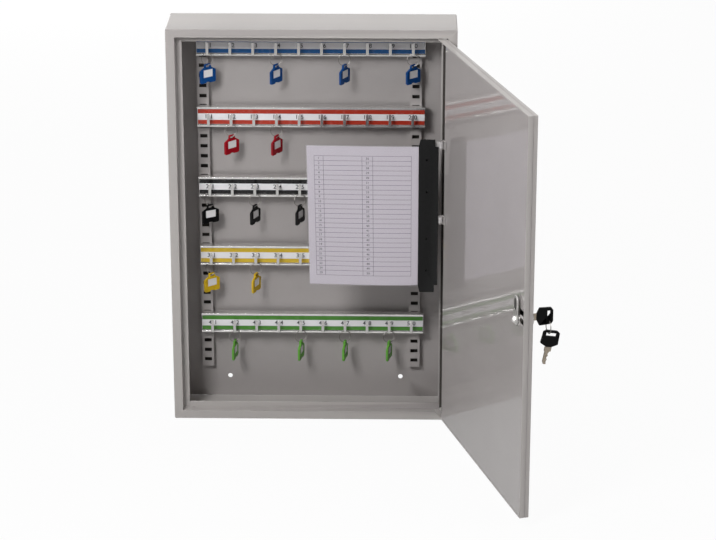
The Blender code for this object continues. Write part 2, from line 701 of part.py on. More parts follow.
def make_keys(turn):
    """The key in the lock, and the spare that hangs from it on a wire ring."""
    key = axis_empty("key_slide", (0.0, 0.0, 0.0), turn)
    make_key("key", key, BOW_FRONT, Matrix.Identity(4))
    web_low = -BOW_HEIGHT / 2
    web_high = -BOW_SLOT_LENGTH / 2
    ring_hinge = axis_empty("ring_hinge", (0.0, BOW_SLOT_MIDDLE, (web_low + web_high) / 2), key)
    radius = (KEY_RING_DIAMETER - KEY_RING_WIRE) / 2
    web_reach = math.hypot(BOW_THICKNESS / 2 - BOW_SLOT_FLARE, (web_high - web_low) / 2)
    ring_top = web_reach + KEY_RING_PLAY + KEY_RING_WIRE / 2
    facing = Matrix.Translation((0.0, 0.0, ring_top - radius)) @ ALONG_Y
    make_piece("key_ring", wire_ring(KEY_RING_DIAMETER, KEY_RING_WIRE, facing), BRIGHT_STEEL,
               ring_hinge, smooth=True)
    seat = ring_top - 2 * radius + KEY_RING_WIRE / 2
    spare = axis_empty("spare_hinge", (0.0, 0.0, seat), ring_hinge)
    hang = Matrix.Rotation(SPARE_TILT, 4, "X")
    drop = SPARE_SEAT_GAP + BOW_SLOT_RIM - BOW_LENGTH
    hook_up = Matrix.Translation((0.0, -SPARE_SIDE_SHIFT, drop))
    upright = Matrix.Rotation(-math.pi / 2, 4, "X")
    make_key("spare_key", spare, 0.0, hang @ hook_up @ upright)


def make_rail(name, middle_x):
    """Slotted channel welded to the back, in which the hook bars hang."""
    half = RAIL_WIDTH / 2
    sheet = RAIL_SHEET
    outline = [
        (middle_x - half, RAIL_BACK_Y),
        (middle_x - half, RAIL_FRONT_Y),
        (middle_x + half, RAIL_FRONT_Y),
        (middle_x + half, RAIL_BACK_Y),
        (middle_x + half - sheet, RAIL_BACK_Y),
        (middle_x + half - sheet, RAIL_FRONT_Y + sheet),
        (middle_x - half + sheet, RAIL_FRONT_Y + sheet),
        (middle_x - half + sheet, RAIL_BACK_Y),
    ]
    rail = make_piece(name, prism(outline, "XY", RAIL_BOTTOM_Z, RAIL_TOP_Z), GREY_COAT)
    slots = bmesh.new()
    count = int((TOP_SLOT_Z - RAIL_BOTTOM_Z - SLOT_HEIGHT) / SLOT_PITCH) + 1
    for number in range(count):
        middle = TOP_SLOT_Z - SLOT_PITCH * number
        add_box(slots,
                (middle_x - SLOT_WIDTH / 2, RAIL_FRONT_Y - OVERRUN, middle - SLOT_HEIGHT / 2),
                (middle_x + SLOT_WIDTH / 2, RAIL_FRONT_Y + sheet + OVERRUN, middle + SLOT_HEIGHT / 2))
    boolean(rail, slots)


def bar_outline():
    """Section of a hook bar: face, flanges to the rails and lips over the label."""
    top = BAR_HEIGHT / 2
    face = BAR_FACE_SHEET
    return [
        (BAR_BACK_Y, top),
        (LIP_FRONT_Y, top),
        (LIP_FRONT_Y, top - BAR_TOP_LIP),
        (LIP_BACK_Y, top - BAR_TOP_LIP),
        (LIP_BACK_Y, top - face),
        (BAR_FACE_Y, top - face),
        (BAR_FACE_Y, face - top),
        (LIP_BACK_Y, face - top),
        (LIP_BACK_Y, BAR_BOTTOM_LIP - top),
        (LIP_FRONT_Y, BAR_BOTTOM_LIP - top),
        (LIP_FRONT_Y, -top),
        (BAR_BACK_Y, -top),
        (BAR_BACK_Y, face - top),
        (BAR_FACE_Y + face, face - top),
        (BAR_FACE_Y + face, top - face),
        (BAR_BACK_Y, top - face),
    ]


def lug_outline():
    """Side view of a lug: it runs back through a rail slot and drops behind the web."""
    low = FIT - SLOT_DROP - SLOT_HEIGHT / 2
    high = low + LUG_SHEET
    web_back = RAIL_FRONT_Y + RAIL_SHEET + FIT
    root = BAR_FACE_Y + BAR_FACE_SHEET / 2
    return [
        (root, low),
        (web_back, low),
        (web_back, low - LUG_NOSE),
        (web_back + LUG_SHEET, low - LUG_NOSE),
        (web_back + LUG_SHEET, high),
        (root, high),
    ]


def make_bar(colour_name, holder):
    """Hook bar with a lug for each rail."""
    bar = make_piece("bar_" + colour_name, prism(bar_outline(), "YZ", BAR_LEFT_X, BAR_RIGHT_X),
                     DULL_STEEL, holder)
    lugs = bmesh.new()
    for middle_x in (RAIL_LEFT_X, RAIL_RIGHT_X):
        add_prism(lugs, lug_outline(), "YZ", middle_x - LUG_WIDTH / 2, middle_x + LUG_WIDTH / 2)
    boolean(bar, lugs, "UNION")


def make_label(colour_name, colour, holder):
    """Printed strip that slides in behind the bar's lips."""
    top = BAR_HEIGHT / 2 - BAR_FACE_SHEET - FIT
    make_piece("label_" + colour_name,
               box((BAR_LEFT_X + LABEL_END_INSET, LABEL_FRONT_Y, -LABEL_DROP),
                   (BAR_RIGHT_X - LABEL_END_INSET, LABEL_BACK_Y, top)),
               (colour, *PLASTIC_GLOSS), holder)


def hook_outline():
    """Side view of a hook: root behind the label, leg under it, arm turned up in front."""
    back = HOOK_ROOT_BACK_Y
    front = HOOK_ROOT_FRONT_Y
    top = HOOK_LEG_TOP
    bottom = HOOK_LEG_TOP - HOOK_SHEET
    far = HOOK_ARM_Y - HOOK_SHEET
    bend = HOOK_BEND
    return [
        (back, bottom + bend),
        (back, HOOK_ROOT - LABEL_DROP),
        (front, HOOK_ROOT - LABEL_DROP),
        (front, top),
        (HOOK_ARM_Y + bend / 2, top),
        (HOOK_ARM_Y, top + bend / 2),
        (HOOK_ARM_Y, HOOK_TIP),
        (far, HOOK_TIP),
        (far, bottom + bend),
        (far + bend, bottom),
        (back - bend, bottom),
    ]


def make_hooks(colour_name, holder):
    """A comb of ten flat hooks with round tips, pressed from one strip of sheet."""
    shape = bmesh.new()
    half = HOOK_WIDTH / 2
    for number in range(HOOKS_PER_BAR):
        middle = FIRST_HOOK_X + HOOK_PITCH * number
        add_prism(shape, hook_outline(), "YZ", middle - half, middle + half)
    tip = HOOK_TIP - MERGE_DISTANCE
    tips = [edge for edge in shape.edges
            if all(vert.co.z > tip for vert in edge.verts)
            and abs(edge.verts[0].co.y - edge.verts[1].co.y) > FIT]
    bmesh.ops.bevel(shape, geom=tips, offset=HOOK_TIP_ROUND, segments=2, profile=0.5,
                    affect="EDGES", material=-1)
    strip_half = HOOK_PITCH * (HOOKS_PER_BAR - 1) / 2 + HOOK_WIDTH
    strip_middle = FIRST_HOOK_X + HOOK_PITCH * (HOOKS_PER_BAR - 1) / 2
    strip_top = HOOK_ROOT - LABEL_DROP
    strip = box((strip_middle - strip_half, HOOK_ROOT_FRONT_Y, strip_top - HOOK_STRIP_HEIGHT),
                (strip_middle + strip_half, HOOK_ROOT_BACK_Y, strip_top))
    comb = make_piece("hooks_" + colour_name, strip, BRIGHT_STEEL, holder)
    boolean(comb, shape, "UNION")


def tag_outline(eye_top):
    """Front view of a tag's case: eye at the top, sloping shoulders, notched foot."""
    half = TAG_WIDTH / 2
    eye = TAG_EYE_WIDTH / 2 + TAG_EYE_RIM
    neck = eye_top - TAG_EYE_HEIGHT - TAG_EYE_RIM
    shoulder = neck - TAG_SHOULDER_DROP
    foot = eye_top - TAG_LENGTH
    corner = TAG_EYE_RIM
    notch = TAG_NOTCH_WIDTH / 2
    right = [
        (notch, foot + TAG_NOTCH_HEIGHT),
        (notch, foot),
        (half - corner, foot),
        (half, foot + corner),
        (half, shoulder),
        (eye, neck),
        (eye, eye_top - corner),
        (eye - corner, eye_top),
    ]
    return right + [(-across, up) for across, up in reversed(right)]


def tag_mesh():
    """Wire ring and plastic case of one tag as one body, hung from the origin."""
    radius = (TAG_RING_DIAMETER - TAG_RING_WIRE) / 2
    ring_top = TAG_RING_WIRE / 2
    facing = Matrix.Translation((0.0, 0.0, ring_top - radius)) @ ALONG_Y
    ring = wire_ring(TAG_RING_DIAMETER, TAG_RING_WIRE, facing)
    slot_top = ring_top - 2 * radius + TAG_RING_WIRE / 2 - TAG_SEAT
    half = TAG_THICKNESS / 2
    twist = Matrix.Rotation(TAG_TWIST, 4, "Z")
    case = prism(tag_outline(slot_top + TAG_EYE_RIM), "XZ", -half, half)
    eye_half = TAG_EYE_WIDTH / 2
    cuts = box((-eye_half, -half - OVERRUN, slot_top - TAG_EYE_HEIGHT),
               (eye_half, half + OVERRUN, slot_top))
    window_top = slot_top - TAG_EYE_HEIGHT - TAG_EYE_RIM * 2
    window_low = window_top - TAG_WINDOW_HEIGHT
    window_half = TAG_WINDOW_WIDTH / 2
    for side in (-1, 1):
        floor = side * (half - TAG_WINDOW_DEPTH)
        outside = side * (half + OVERRUN)
        add_box(cuts, (-window_half, min(floor, outside), window_low),
                (window_half, max(floor, outside), window_top))
    for shape in (case, cuts):
        bmesh.ops.transform(shape, matrix=twist, verts=shape.verts)
    pattern = make_object("tag_pattern", case)
    boolean(pattern, cuts)
    joined = pattern.modifiers.new("Ring", "BOOLEAN")
    joined.operation = "UNION"
    joined.solver = "EXACT"
    joined.object = make_object("tag_pattern_ring", ring)
    bpy.context.view_layer.update()
    solved = pattern.evaluated_get(bpy.context.evaluated_depsgraph_get())
    mesh = bpy.data.meshes.new_from_object(solved)
    for helper in list(bpy.data.objects):
        if helper.name.startswith("tag_pattern"):
            bpy.data.objects.remove(helper, do_unlink=True)
    return mesh


def make_tags(mesh, colour_name, colour, tags, holder):
    """The tags of one bar, each hung on its own hook."""
    for number, turn in tags:
        middle = FIRST_HOOK_X + HOOK_PITCH * (number - 1)
        name = "tag_" + colour_name + "_" + str(number)
        hook = axis_empty(name + "_hinge", (middle, TAG_Y, TAG_HANG), holder, math.radians(turn))
        tag = bpy.data.objects.new(name, mesh.copy())
        bpy.context.scene.collection.objects.link(tag)
        tag.parent = hook
        tag.data.materials.append(finish_material(name, colour, *PLASTIC_GLOSS))


def make_bars():
    """Five bars with their labels, hooks and tags, each on a holder at its height."""
    mesh = tag_mesh()
    for number, (colour_name, colour, tags) in enumerate(BARS):
        holder = axis_empty("bar_lift_" + colour_name, (0.0, 0.0, TOP_BAR_Z - BAR_PITCH * number))
        make_bar(colour_name, holder)
        make_label(colour_name, colour, holder)
        make_hooks(colour_name, holder)
        make_tags(mesh, colour_name, colour, tags, holder)


def make_index_clip(name, middle, hinge):
    """White plastic clip on the liner's hinge edge, with two ears and a pin."""
    pivot_x = LINER_HINGE_EDGE
    pivot_y = DOOR_INNER + INDEX_PIVOT_LIFT
    eye_half = INDEX_EYE_HEIGHT / 2
    ear_low = eye_half + FIT
    ear_high = ear_low + INDEX_EAR_SHEET
    foot_back = DOOR_INNER + FIT
    ear_half = INDEX_EAR_HALF_WIDTH
    outline = [
        (pivot_x + ear_half, foot_back),
        (pivot_x + ear_half, pivot_y + ear_half),
        (pivot_x - ear_half, pivot_y + ear_half),
        (pivot_x - ear_half, foot_back + INDEX_FOOT_SHEET),
        (pivot_x - INDEX_FOOT_LENGTH, foot_back + INDEX_FOOT_SHEET),
        (pivot_x - INDEX_FOOT_LENGTH, foot_back),
    ]
    clip = make_piece(name, prism(outline, "XY", middle - ear_high, middle + ear_high),
                      WHITE_PLASTIC, hinge)
    boolean(clip, box((pivot_x - ear_half - OVERRUN, foot_back + INDEX_FOOT_SHEET, middle - ear_low),
                      (pivot_x + ear_half + OVERRUN, pivot_y + ear_half + OVERRUN, middle + ear_low)))
    place = Matrix.Translation((pivot_x, pivot_y, 0.0))
    pin = rod(INDEX_PIN_DIAMETER / 2, middle - ear_high + FIT, middle + ear_high - FIT, place, PIN_SIDES)
    boolean(clip, pin, "UNION")


def make_index_eye(name, middle, leaf):
    """White plastic eye on the index's spine, which turns on the clip's pin."""
    eye = INDEX_EYE_DIAMETER / 2
    half = INDEX_EYE_HEIGHT / 2
    tab_front = SPINE_THICKNESS / 2 + FIT
    slant = math.sqrt(0.5)
    outline = [
        (0.0, -eye),
        (eye * slant, -eye * slant),
        (eye, 0.0),
        (eye * slant, eye * slant),
        (0.0, tab_front + INDEX_TAB_SHEET),
        (-INDEX_TAB_LENGTH, tab_front + INDEX_TAB_SHEET),
        (-INDEX_TAB_LENGTH, tab_front),
        (-eye, tab_front),
        (-eye, 0.0),
        (-eye * slant, -eye * slant),
    ]
    tab = make_piece(name, prism(outline, "XY", middle - half, middle + half), WHITE_PLASTIC, leaf)
    boolean(tab, rod(INDEX_PIN_DIAMETER / 2 + PIN_PLAY, middle - half - OVERRUN,
                     middle + half + OVERRUN, Matrix.Identity(4), PIN_SIDES))


def make_index_spine(leaf):
    """Black plastic spine that grips the pockets along one edge."""
    right = -SPINE_FROM_PIVOT
    left = right - SPINE_WIDTH
    half = SPINE_LENGTH / 2
    low = INDEX_MIDDLE_Z - half
    high = INDEX_MIDDLE_Z + half
    inset = SPINE_END_INSET
    step = SPINE_END_LENGTH
    outline = [
        (left, low + step),
        (left + inset / 2, low),
        (right - inset, low),
        (right - inset, low + step),
        (right, low + step),
        (right, high - step),
        (right - inset, high - step),
        (right - inset, high),
        (left + inset / 2, high),
        (left, high - step),
    ]
    thick = SPINE_THICKNESS / 2
    spine = make_piece("index_spine", prism(outline, "XZ", -thick, thick), BLACK_PLASTIC, leaf)
    groove = POCKET_THICKNESS / 2 + FIT
    boolean(spine, box((left - OVERRUN, -groove, low - OVERRUN),
                       (left + SPINE_GROOVE_DEPTH, groove, high + OVERRUN)))


def make_index_pages(leaf):
    """Clear pocket, open along its top, and the printed page inside it."""
    right = -SPINE_FROM_PIVOT - SPINE_WIDTH + SPINE_GROOVE_DEPTH - FIT
    left = right - POCKET_LENGTH
    low = INDEX_MIDDLE_Z - POCKET_HEIGHT / 2
    high = INDEX_MIDDLE_Z + POCKET_HEIGHT / 2
    half = POCKET_THICKNESS / 2
    pocket = make_piece("index_pocket", box((left, -half, low), (right, half, high)), FILM, leaf)
    inside = half - POCKET_FILM
    page_right = right - SPINE_GROOVE_DEPTH
    boolean(pocket, box((left + POCKET_SEAM, -inside, low + POCKET_SEAM),
                        (page_right, inside, high + OVERRUN)))
    page = PAGE_THICKNESS / 2
    make_piece("index_page",
               box((left + POCKET_SEAM + FIT, -page, low + POCKET_SEAM + FIT),
                   (page_right - FIT, page, high - PAGE_TOP_MARGIN)),
               PAPER, leaf)


def make_index(hinge):
    """The key index: its brackets ride on the door, its leaf stays square to the front."""
    make_index_clip("index_clip_low", INDEX_LOW_HINGE_Z, hinge)
    make_index_clip("index_clip_high", INDEX_HIGH_HINGE_Z, hinge)
    pivot = Vector((LINER_HINGE_EDGE, DOOR_INNER + INDEX_PIVOT_LIFT, 0.0))
    opened = Matrix.Translation((HINGE_X, HINGE_Y, 0.0)) @ Matrix.Rotation(DOOR_OPEN_ANGLE, 4, "Z")
    leaf = axis_empty("index_hinge", opened @ pivot)
    make_index_eye("index_eye_low", INDEX_LOW_HINGE_Z, leaf)
    make_index_eye("index_eye_high", INDEX_HIGH_HINGE_Z, leaf)
    make_index_spine(leaf)
    make_index_pages(leaf)


def make_door():
    """The door hangs on its axis empty, turned open by its resting angle."""
    hinge = axis_empty("door_hinge", (HINGE_X, HINGE_Y, 0.0), None, DOOR_OPEN_ANGLE)
    make_door_skin(hinge)
    make_door_liner(hinge)
    lock = axis_empty("lock_axis", (LOCK_X, DOOR_OUTER, LOCK_Z), hinge)
    make_lock_case(lock)
    turn = axis_empty("lock_turn", (0.0, 0.0, 0.0), lock)
    make_lock_works(turn)
    make_keys(turn)
    make_index(hinge)


clear_scene()
make_casing()
make_back_panel()
make_hinge_pin("hinge_pin_top", 1)
make_hinge_pin("hinge_pin_bottom", -1)
make_rail("rail_left", RAIL_LEFT_X)
make_rail("rail_right", RAIL_RIGHT_X)
make_bars()
make_door()
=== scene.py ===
"""Looks of a wall-hung key cabinet with five hook bars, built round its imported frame.

Metres, +Z up, in the frame's own axes: the wall is the plane Y = 0 and the door opening
faces -Y. Each section makes one piece or group of pieces, in the order they go together.
"""

import json
import math

import bmesh
import bpy
from mathutils import Matrix, Vector


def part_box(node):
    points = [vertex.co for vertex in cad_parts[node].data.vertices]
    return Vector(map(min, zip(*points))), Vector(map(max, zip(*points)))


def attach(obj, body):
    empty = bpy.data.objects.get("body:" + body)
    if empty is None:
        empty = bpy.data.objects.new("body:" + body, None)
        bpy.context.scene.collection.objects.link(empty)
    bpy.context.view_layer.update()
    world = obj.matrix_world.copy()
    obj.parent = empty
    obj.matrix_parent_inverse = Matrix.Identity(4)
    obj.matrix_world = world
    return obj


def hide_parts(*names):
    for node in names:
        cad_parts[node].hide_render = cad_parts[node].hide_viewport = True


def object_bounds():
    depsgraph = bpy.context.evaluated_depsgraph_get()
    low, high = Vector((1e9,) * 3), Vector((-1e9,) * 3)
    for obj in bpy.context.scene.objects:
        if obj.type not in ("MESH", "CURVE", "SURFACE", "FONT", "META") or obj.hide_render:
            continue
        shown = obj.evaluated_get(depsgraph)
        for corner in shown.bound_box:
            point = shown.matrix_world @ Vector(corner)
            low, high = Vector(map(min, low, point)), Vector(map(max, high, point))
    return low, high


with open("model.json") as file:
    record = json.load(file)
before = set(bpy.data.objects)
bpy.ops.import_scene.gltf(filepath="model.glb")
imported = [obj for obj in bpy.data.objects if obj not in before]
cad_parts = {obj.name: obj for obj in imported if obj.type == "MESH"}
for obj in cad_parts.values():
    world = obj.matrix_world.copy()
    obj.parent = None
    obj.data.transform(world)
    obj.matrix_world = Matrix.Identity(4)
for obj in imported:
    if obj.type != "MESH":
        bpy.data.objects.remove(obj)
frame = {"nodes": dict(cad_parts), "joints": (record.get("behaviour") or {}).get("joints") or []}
cad_low, cad_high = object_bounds()


# Casing
# One ring of 1.2 mm steel sheet, folded round the front frame and into the rebate that the
# door shuts in, and welded at its corners. It is powder coated a warm light grey, apart from
# the rebate's ledge on the hinge side, which is painted dark as painted shade in the gap there.
COAT_COLOUR = (0.350, 0.326, 0.320, 1.0)
THIN_COAT_COLOUR = (0.62, 0.60, 0.57, 1.0)
# A near-black that paints shade: on the hinge-side ledge, behind and inside the rails, and inside the
# door skin.
PAINTED_SHADE_COLOUR = (0.034, 0.028, 0.024, 1.0)
BLACK = (0.0, 0.0, 0.0, 1.0)
WHITE = (1.0, 1.0, 1.0, 1.0)
COAT_SHADE = 0.12
COAT_SPECKLE = 0.05
LEDGE_DEPTH = -0.0672
LEDGE_TOLERANCE = 0.0002
SHADED_LEDGE_FROM = 0.1718
SQUARE_ON_COSINE = 0.99
SECOND_LOOK = 1
WELD = 0.000002
FLAT_ANGLE = math.radians(0.6)
SHARP_ANGLE = math.radians(38.0)
CORNER_ANGLE = math.radians(50.0)
X_AXIS = (1.0, 0.0, 0.0)


def add(tree, kind, inputs=None, **settings):
    """Add a shader node; an input takes a value or another node's output."""
    node = tree.nodes.new("ShaderNode" + kind)
    for name, value in settings.items():
        setattr(node, name, value)
    for socket, value in (inputs or {}).items():
        if isinstance(value, bpy.types.NodeSocket):
            tree.links.new(value, node.inputs[socket])
        else:
            node.inputs[socket].default_value = value
    return node


def new_group(name, inputs, outputs):
    """An empty shader node group with named inputs, given with their defaults."""
    group = bpy.data.node_groups.new(name, "ShaderNodeTree")
    for label, value in inputs.items():
        kind = "NodeSocketColor" if isinstance(value, tuple) else "NodeSocketFloat"
        socket = group.interface.new_socket(label, in_out="INPUT", socket_type=kind)
        socket.default_value = value
    for label, kind in outputs.items():
        group.interface.new_socket(label, in_out="OUTPUT", socket_type="NodeSocket" + kind)
    given = group.nodes.new("NodeGroupInput").outputs
    return group, given, group.nodes.new("NodeGroupOutput").inputs


def feed(tree, out, sources):
    """Link outputs of nodes to a group's own outputs, by name."""
    for label, source in sources.items():
        tree.links.new(source, out[label])


def mix(tree, factor, first, second):
    """Mix two colours, each a value or a socket, and give the output."""
    return add(tree, "Mix", {0: factor, 6: first, 7: second}, data_type="RGBA").outputs[2]


def math_node(tree, operation, first, second=0.0):
    """One math node's output."""
    return add(tree, "Math", {0: first, 1: second}, operation=operation).outputs[0]


def times(tree, first, second):
    """The product of two values."""
    return math_node(tree, "MULTIPLY", first, second)


def between(tree, value, low, high):
    """A factor that rises from 0 to 1 as a value goes from low to high."""
    return add(tree, "MapRange", {0: value, 1: low, 2: high}).outputs[0]


def noise(tree, place, scale, detail, distortion=0.0):
    """A noise pattern from 0 to 1, with its scale in patches a metre."""
    inputs = {"Vector": place, "Scale": scale, "Detail": detail, "Distortion": distortion}
    return add(tree, "TexNoise", inputs).outputs["Fac"]


def bump(tree, height, strength, distance):
    """A surface normal bent by a height pattern."""
    inputs = {"Strength": strength, "Distance": distance, "Height": height}
    return add(tree, "Bump", inputs).outputs["Normal"]


def pointiness(tree):
    """How sharp the surface is: over 0.5 on edges that stand out, under it in hollows."""
    return add(tree, "NewGeometry").outputs["Pointiness"]


def make_coat_group():
    """Powder coat: soft orange peel, faint clouding and thinner colour on the edges."""
    group, given, out = new_group(
        "Powder coat",
        {"Colour": COAT_COLOUR, "Clouding": 0.5, "Peel": 0.3, "Edge": 0.3, "Gloss change": 0.1,
         "Roughness": 0.42, "Wave": 0.1},
        {"Color": "Color", "Roughness": "Float", "Normal": "Vector", "Coat Normal": "Vector"})
    place = add(group, "TexCoord").outputs["Object"]
    cloud = noise(group, place, scale=7.0, detail=4.0)
    grain = noise(group, place, scale=1900.0, detail=2.0)
    peel = noise(group, place, scale=1300.0, detail=1.5)
    waves = noise(group, place, scale=11.0, detail=1.0)
    darker = mix(group, COAT_SHADE, given["Colour"], BLACK)
    shade = times(group, between(group, cloud, low=0.35, high=0.65), given["Clouding"])
    base = mix(group, shade, given["Colour"], darker)
    speck = times(group, between(group, grain, low=0.50, high=0.75), COAT_SPECKLE)
    base = mix(group, speck, base, WHITE)
    worn = times(group, between(group, pointiness(group), low=0.52, high=0.60), given["Edge"])
    change = times(group, between(group, cloud, low=0.3, high=0.7), given["Gloss change"])
    feed(group, out, {
        "Color": mix(group, worn, base, THIN_COAT_COLOUR),
        "Roughness": math_node(group, "ADD", given["Roughness"], change),
        "Normal": bump(group, peel, given["Peel"], distance=0.0001),
        "Coat Normal": bump(group, waves, given["Wave"], distance=0.002)})
    return group


COAT_GROUP = make_coat_group()


def new_material(name, group, values, **sockets):
    """A material whose surface comes from a node group; plain sockets are set on its shader."""
    material = bpy.data.materials.new(name)
    material.use_nodes = True
    tree = material.node_tree
    shader = tree.nodes["Principled BSDF"]
    surface = tree.nodes.new("ShaderNodeGroup")
    surface.node_tree = group
    for socket, value in values.items():
        surface.inputs[socket].default_value = value
    for output in surface.outputs:
        tree.links.new(output, shader.inputs["Base Color" if output.name == "Color" else output.name])
    for socket, value in sockets.items():
        shader.inputs[socket.replace("_", " ")].default_value = value
    return material


def merged(node):
    """A CAD node's shape with its loose triangles joined into flat faces."""
    shape = bmesh.new()
    shape.from_mesh(frame["nodes"][node].data)
    bmesh.ops.remove_doubles(shape, verts=shape.verts, dist=WELD)
    bmesh.ops.dissolve_limit(shape, angle_limit=FLAT_ANGLE, verts=shape.verts, edges=shape.edges)
    return shape


def soften(shape, width, steps=2):
    """Round every edge of a shape that turns a corner."""
    edges = [edge for edge in shape.edges
             if edge.is_manifold and edge.calc_face_angle(0.0) > CORNER_ANGLE]
    bmesh.ops.bevel(shape, geom=edges, offset=width, segments=steps, profile=0.5, affect="EDGES",
                    material=-1, clamp_overlap=True)
    return shape


def as_mesh(name, shape):
    """A mesh with a shape's faces; the shape itself is freed."""
    mesh = bpy.data.meshes.new(name)
    shape.to_mesh(mesh)
    shape.free()
    return mesh


def new_object(name, data):
    """An object in the scene that shows some data."""
    item = bpy.data.objects.new(name, data)
    bpy.context.scene.collection.objects.link(item)
    return item


def put(name, shape, look, body, stands_for=(), second=None):
    """Make a piece of a shape, with its finish, its body and the CAD nodes it stands for."""
    mesh = as_mesh(name, shape)
    mesh.materials.append(look)
    if second:
        mesh.materials.append(second)
    mesh.shade_smooth()
    mesh.set_sharp_from_angle(angle=SHARP_ANGLE)
    piece = new_object(name, mesh)
    even = piece.modifiers.new("Even shading", "WEIGHTED_NORMAL")
    even.keep_sharp = True
    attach(piece, body)
    if stands_for:
        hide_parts(*stands_for)
    return piece


def split(shape, faces, point, normal):
    """Cut some faces of a shape along a plane."""
    edges = dict.fromkeys(edge for face in faces for edge in face.edges)
    verts = dict.fromkeys(vert for face in faces for vert in face.verts)
    bmesh.ops.bisect_plane(shape, geom=[*faces, *edges, *verts], dist=WELD,
                           plane_co=point, plane_no=normal)
    shape.normal_update()


def on_ledge(face):
    """Whether a face is on the front of the ledge behind the door."""
    level = abs(face.calc_center_median().y - LEDGE_DEPTH) < LEDGE_TOLERANCE
    return level and face.normal.y < -SQUARE_ON_COSINE


grey_coat = new_material(
    "grey_powder_coat", COAT_GROUP,
    {"Colour": COAT_COLOUR, "Clouding": 0.35, "Peel": 0.25, "Edge": 0.30, "Roughness": 0.40},
    Specular_IOR_Level=0.25)
# Painted shade: a dark coat for faces in gaps and hollows.
shade_coat = new_material(
    "painted_shade_coat", COAT_GROUP,
    {"Colour": PAINTED_SHADE_COLOUR, "Clouding": 0.5, "Peel": 0.3, "Edge": 0.0, "Roughness": 0.55},
    Specular_IOR_Level=0.25)
shell = merged("casing")
shell.normal_update()
# The ledge past this line is painted dark, as painted shade in the gap by the hinge.
ledge = [face for face in shell.faces if on_ledge(face)]
split(shell, ledge, (SHADED_LEDGE_FROM, 0.0, 0.0), X_AXIS)
for face in shell.faces:
    if on_ledge(face) and face.calc_center_median().x > SHADED_LEDGE_FROM:
        face.material_index = SECOND_LOOK
put("casing_shell", shell, grey_coat, "root", ["casing"], shade_coat)


# Back panel
# A plain sheet let in from behind and welded round its edge. Four wall-screw holes are
# punched in it. Behind the rails it is painted dark, as painted shade inside their channels.
Z_AXIS = (0.0, 0.0, 1.0)
inner_coat = new_material(
    "inner_powder_coat", COAT_GROUP,
    {"Colour": COAT_COLOUR, "Clouding": 0.55, "Peel": 0.30, "Edge": 0.0, "Roughness": 0.46},
    Specular_IOR_Level=0.4)
rail_boxes = {side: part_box("rail_" + side) for side in ("left", "right")}
sheet = merged("back_panel")
sheet.normal_update()
for corners in rail_boxes.values():
    for axis in (X_AXIS, Z_AXIS):
        for corner in corners:
            front = [face for face in sheet.faces if face.normal.y < -SQUARE_ON_COSINE]
            split(sheet, front, corner, axis)
# Faces behind the rails take the painted shade.
for face in sheet.faces:
    middle = face.calc_center_median()
    for low, high in rail_boxes.values():
        behind = low.x < middle.x < high.x and low.z < middle.z < high.z
        if behind and face.normal.y < -SQUARE_ON_COSINE:
            face.material_index = SECOND_LOOK
put("back_sheet", sheet, inner_coat, "root", ["back_panel"], shade_coat)


# Rails
# Two slotted channels of 1 mm steel, spot welded to the back panel; their hollow side is painted
# dark as painted shade. The coat rounds the edges of the slots that the bars hang in.
RAIL_EDGE = 0.00022
RAIL_SHEET = 0.0010
FACING_COSINE = 0.5
for side, (low, high) in rail_boxes.items():
    rail = merged("rail_" + side)
    rail.normal_update()
    # Faces of the channel's hollow side take the painted shade.
    for face in rail.faces:
        across = abs(face.calc_center_median().x - (low.x + high.x) / 2)
        inner_wall = abs(across - (high.x - low.x) / 2 + RAIL_SHEET) < RAIL_SHEET / 2
        if face.normal.y > FACING_COSINE or (inner_wall and abs(face.normal.x) > FACING_COSINE):
            face.material_index = SECOND_LOOK
    soften(rail, RAIL_EDGE)
    put("slotted_rail_" + side, rail, inner_coat, "root", ["rail_" + side], shade_coat)


# Hinge pins
# Zinc-plated steel pins, headed over inside the front frame, with a collar that keeps the
# door clear of the casing.
PIN_EDGE = 0.0002
TARNISH_COLOUR = (0.30, 0.27, 0.22, 1.0)
TARNISH = 0.10
# The near-black that hollows in metal are darkened towards, as painted shade.
CONCAVE_SHADE_COLOUR = (0.06, 0.055, 0.05, 1.0)


def make_metal_group():
    """Plated or rolled metal: streaks along one axis, cloudy gloss, fine scratches and painted shade in
    hollows.
    """
    group, given, out = new_group(
        "Worked metal",
        {"Colour": (0.6, 0.6, 0.6, 1.0), "Roughness": 0.3, "Cloudiness": 0.12, "Scratches": 0.1,
         "Streak X": 1.0, "Streak Y": 1.0, "Streak Z": 1.0, "Concave shade": 0.2},
        {"Color": "Color", "Roughness": "Float", "Normal": "Vector"})
    place = add(group, "TexCoord").outputs["Object"]
    stretch = {0: given["Streak X"], 1: given["Streak Y"], 2: given["Streak Z"]}
    stretched = add(group, "CombineXYZ", stretch).outputs[0]
    drawn = add(group, "VectorMath", {0: place, 1: stretched}, operation="MULTIPLY").outputs[0]
    streaks = noise(group, drawn, scale=320.0, detail=3.0)
    cloud = noise(group, place, scale=90.0, detail=3.0)
    # Hollows of the surface are darkened: painted shade.
    concave_shade = times(group, between(group, pointiness(group), low=0.50, high=0.42), given["Concave shade"])
    soft = times(group, between(group, cloud, low=0.4, high=0.7), TARNISH)
    tint = mix(group, soft, given["Colour"], TARNISH_COLOUR)
    change = times(group, between(group, cloud, low=0.3, high=0.7), given["Cloudiness"])
    fine = times(group, between(group, streaks, low=0.4, high=0.6), given["Scratches"])
    cloudy = math_node(group, "ADD", given["Roughness"], change)
    feed(group, out, {
        "Color": mix(group, concave_shade, tint, CONCAVE_SHADE_COLOUR),
        "Roughness": math_node(group, "ADD", cloudy, fine),
        "Normal": bump(group, streaks, given["Scratches"], distance=0.00005)})
    return group


